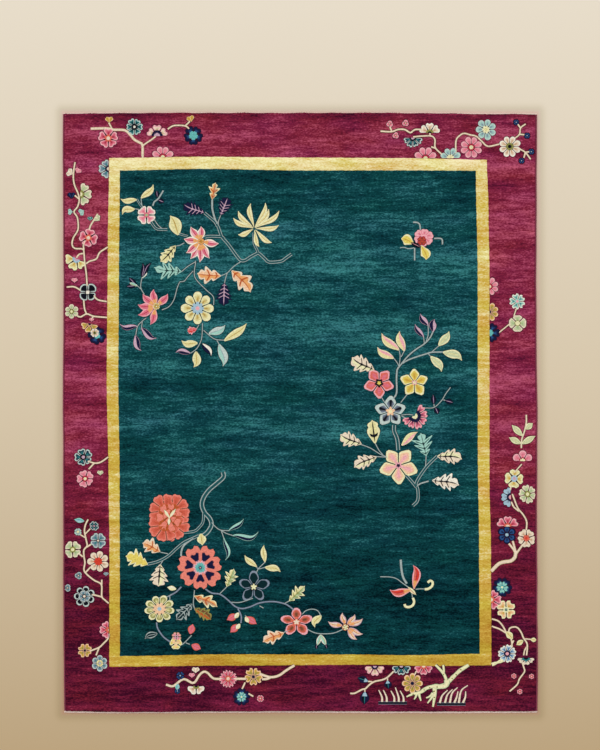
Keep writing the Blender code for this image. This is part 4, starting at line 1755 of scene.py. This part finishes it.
def high_border() -> tuple[Motif, ...]:
    """The border's top: a forked branch on the left, two on the right, and half flowers on the band."""
    return (
        vine((142.8, 158), (142.6, 145.5), (140, 143), (134.7, 140), (131, 135.8), (125, 130.6),
            (113.7, 130), (107, 128.7), (91, 129), width=2.4),
        vine((142.9, 146), (147, 143), (152, 139.7), (156, 136.5)), vine((112.2, 129), (109, 123)),
        vine((112, 131), (109.6, 136), width=1.5),
        vine((168, 129.5), (170.5, 127.6), (175, 125.8), (185.5, 126.3), (190.5, 130.5)),
        vine((185.4, 126.3), (190, 121.6)),
        vine((380.4, 131.5), (391.3, 132), (398, 129.8), (404.8, 129.9), (410.2, 133), (415, 129.9),
            (424, 130), width=1.6),
        vine((413, 137.2), (421.6, 136.4), (431.4, 136.4), (434.8, 140.2), (435, 147.8), (441.5, 154.6)),
        vine((431, 147), (435, 148.5)), vine((429.8, 131), (429.8, 136.4)),
        vine((391.6, 131.5), (389.8, 127)),
        vine((455.8, 157), (455.8, 141.3), (459.6, 135.8), (464, 133.7), (470.4, 135.3), (476, 136.6),
            (481.8, 141.8), (487.7, 146.6), (499, 144.5)),
        vine((514.8, 138.5), (519.2, 134.6), (520.3, 128.3), (525.4, 124.3), width=1.4),
        vine((520.3, 128.5), (517.6, 124.6)), vine((519.2, 134.6), (524, 135)),
        vine((519, 149), (525.1, 152.7), (530.3, 159.6), width=1.4), vine((525.1, 152.7), (523.6, 158)),
        vine((525.5, 152.7), (529, 152)), heart_bud(109.4, 120.4, 4.6, GILT),
        heart_bud(190.8, 119.4, 4.6, GILT, 20), Flower((108.6, 138.6), 10.4, ROSY, 5, turn=-18),
        Flower((134.7, 127.2), 8.8, FERN, 6, turn=30, heart=0.16),
        Flower((157.2, 136.4), 11.6, MAGNOLIA, 3, opens=Opens.UP, heart=0.3, ring=0.55),
        Flower((193.5, 135.8), 9.6, MIDNIGHT, 5, turn=18, heart=0.42, ring=0.5),
        Flower((163, 157.4), 10.8, PINKISH, 4, Bloom.ROUND, opens=Opens.UP),
        Flower((109, 169), 10.4, STEEL, 3, opens=Opens.LEFT),
        *(Flower(spot, 3.2, PINKISH, 3, Bloom.ROUND, 20) for spot in ((389.6, 124.2), (405.4, 123.4),
            (395.6, 135.8))),
        Flower((429.6, 133.4), 11, CREAMY, 3, opens=Opens.UP),
        Flower((412.6, 138), 10, MIDNIGHT_EDGED, 4, opens=Opens.DOWN),
        Flower((425.4, 158.6), 11, PINKISH, 4, Bloom.ROUND, opens=Opens.UP),
        Flower((450, 158.6), 10.4, SKYLIT, 4, Bloom.ROUND, opens=Opens.UP),
        Flower((485.8, 129.8), 10.4, SKYLIT, 7, Bloom.ROUND),
        Flower((471, 147.6), 10.6, PINKISH, 8, Bloom.ROUND),
        Flower((509.4, 146.8), 10.8, CREAMY, 8, Bloom.ROUND, heart=0.2),
        *(Flower(spot, 3.1, ULTRAMARINE, 4) for spot in ((515.9, 122.6), (526.8, 136), (531, 152),
            (521.3, 161))),
    )


def left_border() -> tuple[Motif, ...]:
    """The border's left side: a long climbing branch, and lower ones growing out of the band."""
    return (
        vine((75.4, 162.4), (74.2, 169.4), (73.6, 177.7), (74.8, 185.4), (78.3, 193.6), (79.5, 200),
            (77.8, 207), (74.2, 212), (77.7, 218), (78.3, 229.6), (73.6, 238), (72.4, 245), (75.3, 248.6),
            (83, 249.2), (84.2, 253.2), (85, 262.7), (86.5, 273.3), (87.4, 286)),
        vine((75, 195.6), (79, 199)), vine((84.2, 250), (83.7, 245), (85.5, 241)),
        vine((85, 253.5), (79.5, 254.4), (76.8, 258)),
        vine((89.5, 230), (90.7, 226), (94.2, 220.2), (98, 214), width=1.6),
        vine((86.5, 264), (89.5, 261.5), (96.6, 259), (100, 252.6), (108, 247.2)),
        vine((65.2, 287.4), (74.2, 286.9), (81, 290.5)), vine((94, 295.6), (98, 299.8), (107, 301.7)),
        vine((84, 300.5), (84.8, 308.7), (86.8, 314)),
        vine((76, 315), (80.7, 317), (87, 314), (94.2, 316.4), (107.4, 317.6)),
        vine((93.5, 316.4), (91.6, 320)), heart_bud(70.6, 173, 4.8, CREAMY, 60),
        heart_bud(78.2, 171.2, 4, PINKISH, -30), heart_bud(71.8, 196, 4.8, MIDNIGHT),
        Flower((80.6, 194.4), 12, SAGEY, 3, opens=Opens.RIGHT), heart_bud(70.8, 212, 3.6, SKYLIT, 90),
        heart_bud(82.2, 212, 4.2, SKYLIT, 120), Flower((88.6, 238), 10, ROSY, 4, turn=30),
        heart_bud(90.4, 219, 3, FERN), heart_bud(98, 219, 4.2, SAGEY, 45),
        Flower((77, 259), 12, BUTTERY, 3, opens=Opens.LOW_LEFT), heart_bud(74.8, 280.6, 3.6, PINKISH),
        Flower((88, 292.4), 9.4, MAGPIE, 4, Bloom.ROUND, heart=0.22, ring=0.3),
        Flower((71.8, 311.6), 7, SAGEY, 6, Bloom.ROUND),
        Flower((90, 323.6), 9.4, GILT, 3, opens=Opens.DOWN, turn=-10), heart_bud(91.8, 320, 2.8, PINKISH),
        Flower((97.4, 335.6), 9.4, MIDNIGHT, 4, turn=20, heart=0.25),
        Flower((95, 333), 4.6, CREAMY, 4, raised=0.8),
        vine((108.4, 457), (101, 462), (95, 463), (88, 461)), vine((94.5, 463), (89, 469)),
        Flower((83.6, 457), 9.2, MIDNIGHT_EDGED, 5), Flower((85.4, 478.6), 8.8, PINKISH, 5),
        heart_bud(100.5, 473, 3.6, SAGEY),
        vine((88.4, 519.2), (85.8, 524.5), (84.7, 530.8), (86.3, 539.2), (87.4, 545.5), (84.2, 549.7),
            (84.2, 556), (85.2, 562.3), (84.2, 569.7), (87.4, 574.4), (94.7, 580.2), (101.6, 584.4),
            (102, 596), (105.2, 599.8), (109, 603)),
        vine((102, 584.5), (102, 579.4)), vine((102, 596.6), (92, 594)),
        vine((85.2, 534), (90.5, 528.6), width=1.3), vine((85.8, 537.6), (80.5, 534.4), width=1.3),
        vine((86.8, 547), (92, 543.6)), vine((83, 556.6), (76, 550.6)), vine((85.8, 572.3), (91, 566.6)),
        Leaf((84.4, 521), (74.6, 519.4), 4.6, AQUA_LEAF), Flower((94.4, 525.8), 4.8, MIDNIGHT_EDGED, 4),
        Flower((78.2, 531.6), 3.8, SKYLIT, 4),
        Flower((98.4, 540.4), 8.2, STEEL, 4, heart=0.14, ring=0.22), Flower((73, 549.4), 9, SAGEY, 4),
        Flower((98.5, 561.2), 10.6, CARNATION, 7, Bloom.ROUND, heart=0.38, ring=0.42),
        Flower((78.7, 575.4), 3.6, STEEL, 3, Bloom.ROUND),
        Flower((67.6, 587.6), 3.6, STEEL, 3, Bloom.ROUND),
        Flower((84.6, 596), 10.6, MAGPIE, 7, Bloom.ROUND),
        Flower((84.6, 596), 6.4, STEEL, 5, heart=0.24, raised=0.8), heart_bud(106.3, 574, 2.8, STEEL),
        vine((109, 633.4), (108.4, 638), (104, 642.8), (99.5, 647), (90, 650.8)),
        vine((99.5, 647), (96.3, 655)), Flower((109, 629.6), 9.4, ROSY, 3, opens=Opens.LEFT, heart=0.1),
        Flower((85.2, 650.2), 7.8, GILT, 4, Bloom.CLOVER),
        Flower((100, 662.8), 8, STEEL, 6, Bloom.ROUND, heart=0.42, ring=0.46),
        Flower((100, 662.8), 3.6, BUTTERY, 4, raised=0.8),
    )


def low_border() -> tuple[Motif, ...]:
    """The border's foot: a waving branch, half flowers on the band, a bare tree and two tufts of grass."""
    tree = dict(yarn=Yarn.STRAW, rim=Yarn.SAGE, core=0.6)
    grass = Yarn.CREAM
    return (
        vine((166.2, 684.2), (173.4, 685.7), (183.4, 678.8), (192.5, 682.6), (196, 680.5), (199.2, 675.2),
            (203.6, 671.4), (207.6, 672.4), (213.6, 678), (222, 678.4), (236, 678.4), (246, 678.4),
            width=2.2),
        vine((259, 673), (264.3, 675.2), (271, 676.8), (278.8, 675.2), (286.3, 670), (294.4, 665),
            width=2.4),
        vine((262, 678.8), (267, 678.6), (271, 676.8), width=2.2), vine((245.2, 682), (242.2, 688.6)),
        vine((248.5, 693.2), (253.4, 696)),
        vine((350.2, 692.9), (354.5, 692.9), (362.2, 689), (365.2, 688.4), (369, 684.7), (374.3, 681.2),
            (382, 679.5), (387.2, 677), (393.6, 671), width=1.6),
        vine((366.6, 680.8), (373.4, 681.6), width=1.4), vine((387.4, 677), (387.4, 681), width=1.2),
        vine((364.8, 688.6), (364.8, 692), width=1.2), vine((416.2, 670.8), (414, 675.4), width=1.3),
        *(Leaf(base, tip, width, NIGHT_BUD_EDGED) for base, tip, width in (((368, 681), (357.6, 677.2),
            6.5), ((387.4, 680.2), (388.4, 688.4), 7), ((364.8, 691.4), (364.2, 704), 8.4))),
        Flower((180.4, 675.2), 4.4, ULTRAMARINE, 4), Leaf((177.8, 683.4), (177.2, 689.6), 4.2, AQUA_LEAF),
        Flower((177.6, 690.6), 3, ULTRAMARINE, 3), heart_bud(195.8, 670, 4.4, CREAMY),
        heart_bud(192, 675.2, 3.6, PINKISH), Flower((196.4, 685.4), 9.4, CREAMY, 2, opens=Opens.DOWN),
        Flower((228.2, 678.2), 9.6, ROSY, 8, Bloom.CLOVER),
        Flower((253.4, 676.4), 9.8, GILT, 5, Bloom.CLOVER, 18),
        Flower((241.6, 696.4), 9.2, MIDNIGHT, 5, turn=54),
        Flower((241.6, 696.4), 6, TURQUOISE, 5, Bloom.CLOVER, 54, raised=0.8),
        Flower((260.4, 698), 3.6, ROSY, 4), Flower((374.8, 665.6), 10.4, MAGNOLIA, 3, opens=Opens.DOWN),
        Flower((401.2, 665.6), 10, MIDNIGHT_EDGED, 3, opens=Opens.DOWN),
        Flower((423.6, 665.6), 9.8, ROSY, 3, opens=Opens.DOWN),
        Flower((412.2, 683), 10.2, GILT, 8, Bloom.ROUND, 22.5),
        Stem(((447, 680), (446, 684.5), (440, 686.2), (433, 686), (426, 688), (420, 692), (413, 693.4),
            (406.4, 696.4)), width=5.4, taper=0.3, knobbly=0.25, **tree),
        Stem(((447, 681.5), (444, 674.4), (440.6, 670), (435.4, 664.6)), width=3, taper=0.7, **tree),
        Stem(((443.6, 672.5), (443.6, 669), (443, 664.6)), width=2, **tree),
        Stem(((447, 682.6), (452.6, 677), (459.5, 670.4), (468.4, 664.6)), width=4, taper=0.8,
            knobbly=0.15, **tree),
        Stem(((434.5, 686.6), (434.5, 695), (432.8, 706.4)), width=4.6, taper=0.35, **tree),
        Stem(((433.6, 694), (431, 698), (427.4, 702.8)), width=2.4, taper=0.5, **tree),
        Stem(((432.6, 692.6), (429.6, 696), (426, 697.6)), width=2.4, taper=0.5, **tree),
        Stem(((418.6, 692.6), (419.4, 696), (420.8, 700.4)), width=3, taper=0.4, **tree),
        Stem(((416.6, 693), (415.6, 696.4), (414, 699)), width=2.6, taper=0.4, **tree),
        *(Flower(spot, 0.9, Dress.of("OLIVE OLIVE OLIVE OLIVE OLIVE"), 3) for spot in ((424, 689.4),
            (429.5, 687.4), (437, 686.6), (443.4, 684), (447, 679), (452, 678), (456, 674.2),
            (460.6, 669.4), (434, 691), (434.2, 697), (443.4, 674), (413, 694))),
        Stem(((378.2, 702.6), (392, 702.6), (406.8, 702.6)), Yarn.INK, width=2.6, rim=Yarn.SLATE,
            core=0.75),
        Stem(((436.8, 703.7), (451, 703.7), (465.4, 703.7)), Yarn.INK, width=2.6, rim=Yarn.SLATE,
            core=0.75),
        *(Stem(((foot, 701.4), (foot - 0.2, 696.6), (foot - 3.4, top)), grass, width=2, taper=0.4) for
            foot, top in ((382, 689.6), (386.6, 689.6), (394.2, 690.4), (398.6, 687), (403.4, 690.4))),
        *(Stem(((foot, 702.4), (foot + 2.4, top + 5.5), (foot + lean, top)), grass, width=2, taper=0.4)
            for foot, lean, top in ((439.6, 7.8, 689.8), (444.8, 7.6, 689), (449.6, 7.8, 687.2),
            (454.2, 3.6, 691), (458.6, 9, 685), (462.8, 2.6, 691))),
    )


def right_border() -> tuple[Motif, ...]:
    """The border's right side: climbing branches and half flowers on the band."""
    return (
        vine((515.9, 309), (513.7, 316), width=1.2), vine((509.4, 324), (499, 332.4), width=1.2),
        Flower((489.4, 286.8), 9, PINKISH, 4, Bloom.ROUND, opens=Opens.RIGHT),
        Flower((489.4, 312), 9, GILT, 4, Bloom.ROUND, opens=Opens.RIGHT),
        Flower((489.4, 333), 10, MIDNIGHT, 3, opens=Opens.RIGHT, heart=0.36),
        Flower((517, 301.4), 8.8, GLACIER, 5, Bloom.CLOVER),
        Flower((517.3, 323.2), 8.8, SAGEY, 4, Bloom.SCALLOPED, 45, heart=0.28, ring=0.36),
        vine((526, 414.8), (526, 422.8), (524, 431.7), (521.5, 439.6), (521, 448)),
        *(Leaf(base, tip, 6, SAGE_LEAF) for base, tip in (((522, 435.6), (511.6, 425)), ((525.2, 429),
            (532.4, 423.2)), ((520.6, 443.4), (508.8, 437.4)), ((521.6, 443.6), (535, 436)))),
        Flower((522.4, 461), 10.6, PINKISH, 3, Bloom.ROUND, opens=Opens.UP, heart=0.28),
        vine((521.5, 464), (514, 472.6), width=1.2), Flower((514, 478.4), 10, BUTTERY, 4, turn=-50),
        Flower((527.2, 494), 9.4, SAGEY, 6, turn=15), vine((510, 490), (511.4, 482)),
        Flower((510.6, 497), 10, GLACIER_DEEP, 3, opens=Opens.LEFT, heart=0.24, ring=0.45),
        vine((512, 493.8), (513.6, 498), (517.5, 507.8), (523, 514.7), (526.4, 521.6), (526, 530)),
        vine((511, 501.6), (513.6, 506.8), (518.6, 511)),
        Flower((507.4, 526.4), 11.4, ROSY, 3, opens=Opens.UP),
        Flower((506.6, 534.6), 9, ULTRAMARINE, 6, Bloom.ROUND, heart=0.2),
        Flower((526, 538), 9.4, CARNATION, 5, turn=18, heart=0.16),
        vine((508.6, 543.4), (512.6, 548.3), (515.4, 553), width=2),
        vine((512.4, 540.6), (515.4, 551.4), width=2),
        vine((522.8, 544), (517, 552), (515.6, 554), width=2),
        vine((491, 571), (498, 564), (503.2, 561.8), (510.6, 560.6), (514.8, 556.6), (515.4, 550.5),
            width=3.4),
        Flower((501.8, 587), 10, MIDNIGHT, 5, turn=18),
        Flower((501.8, 587), 6.6, TURQUOISE, 5, Bloom.CLOVER, 18, raised=0.8),
        Flower((490.8, 599.4), 10.8, ROSY, 3, opens=Opens.RIGHT),
        vine((496, 606), (504, 608.8), width=1.3),
        Flower((505.8, 609.4), 10.6, GILDED_PEACH, 4, Bloom.CLOVER, 2),
        Flower((505.8, 609.4), 1.6, FERN, 4, raised=0.8),
        vine((491.5, 618.6), (498, 620.7), (502.7, 626), (506, 632.4)),
        vine((491.5, 626), (499, 628.6), (506.4, 633)), vine((510.4, 637), (511.4, 641), (511.8, 647)),
        vine((511.6, 643.6), (513.4, 640)),
        *(Leaf(base, tip, width, STRAW_LEAF) for base, tip, width in (((506, 631.4), (512.6, 638.6), 6.4),
            ((522.8, 640), (516.2, 644.6), 5), ((530.4, 639.2), (536.4, 639.8), 4.2))),
        vine((508.3, 633), (509.4, 628), (513.8, 626.6), (517.5, 627.6), (521, 632.3), (523.2, 637.6),
            (526.6, 642.8), (527, 648), (526.2, 655)),
        vine((526.6, 646), (524.4, 650), (523.4, 655), width=1.3),
        vine((523.2, 638.4), (533, 639.2), width=1.2), Flower((507, 653.4), 9.4, PERIWINKLE, 7),
        Stem(((491.6, 664.2), (498, 661.8), (504.6, 659)), Yarn.STRAW, width=2.8, knobbly=0.4),
        Flower((525.8, 657.4), 9, FERN_EDGED, 3, opens=Opens.DOWN, heart=0.3, ring=0.5, squash=0.8),
        vine((521.8, 661.6), (523.8, 668), (524.2, 671.4), (519, 678.8), (517, 684), (509.4, 691),
            width=1.4),
        *(Flower(spot, 2.8, ROSY, 3) for spot in ((513.6, 675.6), (531.2, 676), (519.5, 691.2))),
    )


def border_spray() -> Spray:
    """All that grows in the border."""
    motifs = high_border() + left_border() + low_border() + right_border()
    return Spray("border_spray", Yarn.DEEP_WINE, motifs)


@dataclass
class Studio:
    """A pale floor with painted light falloff and painted shadow, a camera looking straight down on it, and
    soft light from the rug's high end.
    """

    camera_height: float = 9.0
    sensor: float = 36.0
    floor_size: float = 14.0
    floor_drop: float = 0.0006
    # floor_high, floor_middle and floor_low paint a falloff of light: lighter at the sheet's high end, darker
    # at its low end
    floor_high: str = "#E8DDCA"
    floor_middle: str = "#D8C8AD"
    floor_low: str = "#BCA480"
    # How the floor darkens with painted shadow and takes the wool's colour as painted bounce light beside the
    # rug, by metres from its edge
    shade: tuple[tuple[float, str], ...] = (
        (0.0, "#F2DEE3"), (0.062, "#FFFFFF"), (0.007, "#F0E6E7"), (0.012, "#EEE9E7"), (0.022, "#EFEFEA"),
        (0.033, "#F7F6F3"), (0.047, "#FDFDFC"),
    )
    key_strength: float = 1.35
    key_softness: float = 24.0
    key_turn: tuple[float, float, float] = (-46.0, 0.0, 18.0)
    sky_strength: float = 0.70

    def build(self) -> None:
        """Places the camera, the floor and the lights."""
        bpy.context.scene.view_settings.view_transform = "Standard"
        self._camera()
        self._floor()
        self._lights()

    def _camera(self) -> None:
        """Frames the cartoon's whole sheet from straight above, a tall picture of 600 by 750."""
        data = bpy.data.cameras.new("camera")
        data.sensor_width = self.sensor
        data.lens = self.sensor * self.camera_height / (Cartoon.SHEET_DOWN * Cartoon.SQUARE)
        camera = bpy.data.objects.new("camera", data)
        across, down = Cartoon.SHEET_ACROSS / 2.0, Cartoon.SHEET_DOWN / 2.0
        camera.location = (Cartoon.x(across), Cartoon.y(down), self.camera_height)
        bpy.context.scene.collection.objects.link(camera)
        bpy.context.scene.camera = camera

    def _floor(self) -> None:
        """Lays the floor: matt paint with a painted falloff of light that deepens from the high end of the
        sheet to its low end, and a painted shadow and wool-tinted bounce beside the rug by its distance from
        the rug's box."""
        size = self.floor_size
        corners = np.array([(-size, -size, 0.0), (size, -size, 0.0), (size, size, 0.0), (-size, size, 0.0)])
        floor = mesh_object("floor", corners - (0.0, 0.0, self.floor_drop), np.array([[0, 1, 2, 3]]))
        paint, tree, shader = matt_material("matt_floor_paint", roughness=0.95, specular=0.0)
        place = add_node(tree, "TexCoord").outputs["Object"]
        # Painted falloff of light along the sheet, from floor_low to floor_high
        along = add_node(tree, "SeparateXYZ", inputs={0: place}).outputs[1]
        span = {"Value": along, "From Min": Cartoon.y(Cartoon.SHEET_DOWN), "From Max": Cartoon.y(0.0)}
        share = add_node(tree, "MapRange", inputs=span)
        stops = ((0.0, rgba(self.floor_low)), (1.0, rgba(self.floor_high)), (0.5, rgba(self.floor_middle)))
        colour = add_node(tree, "ValToRGB", inputs={0: share}, stops=stops)
        # Painted shadow and painted bounce of the wool beside the rug, by distance from the rug's box
        low, high = (np.array(corner) for corner in PACKED_BOX)
        middle, half = tuple((low + high) / 2.0), tuple((high - low) / 2.0)
        beside = add_node(tree, "VectorMath", {"operation": "SUBTRACT"}, {0: place, 1: middle})
        beside = add_node(tree, "VectorMath", {"operation": "ABSOLUTE"}, {0: beside})
        beside = add_node(tree, "VectorMath", {"operation": "SUBTRACT"}, {0: beside, 1: half})
        beside = add_node(tree, "VectorMath", {"operation": "MAXIMUM"}, {0: beside, 1: (0.0, 0.0, 0.0)})
        length = add_node(tree, "VectorMath", {"operation": "LENGTH"}, {0: beside}).outputs["Value"]
        reach = self.shade[1][0]
        near = add_node(tree, "MapRange", inputs={"Value": length, "From Max": reach})
        stops = [(at / reach, rgba(tint)) for at, tint in self.shade]
        shade = add_node(tree, "ValToRGB", inputs={0: near}, stops=stops)
        colour = add_node(tree, "VectorMath", {"operation": "MULTIPLY"}, {0: colour, 1: shade})
        tree.links.new(colour.outputs[0], shader.inputs["Base Color"])
        floor.data.materials.append(paint)

    def _lights(self) -> None:
        """Lights the rug evenly from all round, with one large soft lamp beyond its high end."""
        world = bpy.data.worlds.new("soft_room")
        world.use_nodes = True
        background = world.node_tree.nodes["Background"]
        background.inputs["Color"].default_value = (1.0, 1.0, 1.0, 1.0)
        background.inputs["Strength"].default_value = self.sky_strength
        bpy.context.scene.world = world
        data = bpy.data.lights.new("key", "SUN")
        data.angle = np.radians(self.key_softness)
        data.energy = self.key_strength
        key = bpy.data.objects.new("key", data)
        key.rotation_euler = np.radians(self.key_turn)
        bpy.context.scene.collection.objects.link(key)


def main() -> None:
    """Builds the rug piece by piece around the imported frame."""
    logging.basicConfig(level=logging.INFO, format="%(name)s %(message)s")
    outline = Outline.of(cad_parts["pile_carpet"])
    Studio().build()
    ground = Ground(outline)
    pieces = ground.build()
    pieces += [Overcast("side_overcast_left").build(), Overcast("side_overcast_right").build()]
    pieces += [Webbing("end_web_low", -1.0).build(), Webbing("end_web_high", 1.0).build()]
    pieces.append(RimTufts(outline).build())
    sprays = (high_left_spray(), low_left_spray(), right_spray(), butterflies(), border_spray())
    motif_wool = InlaidYarn().material()
    pieces += [spray.build(ground, motif_wool) for spray in sprays]
    back = KnottedBack(ground).build()
    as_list(pieces)


if __name__ == "__main__":
    main()
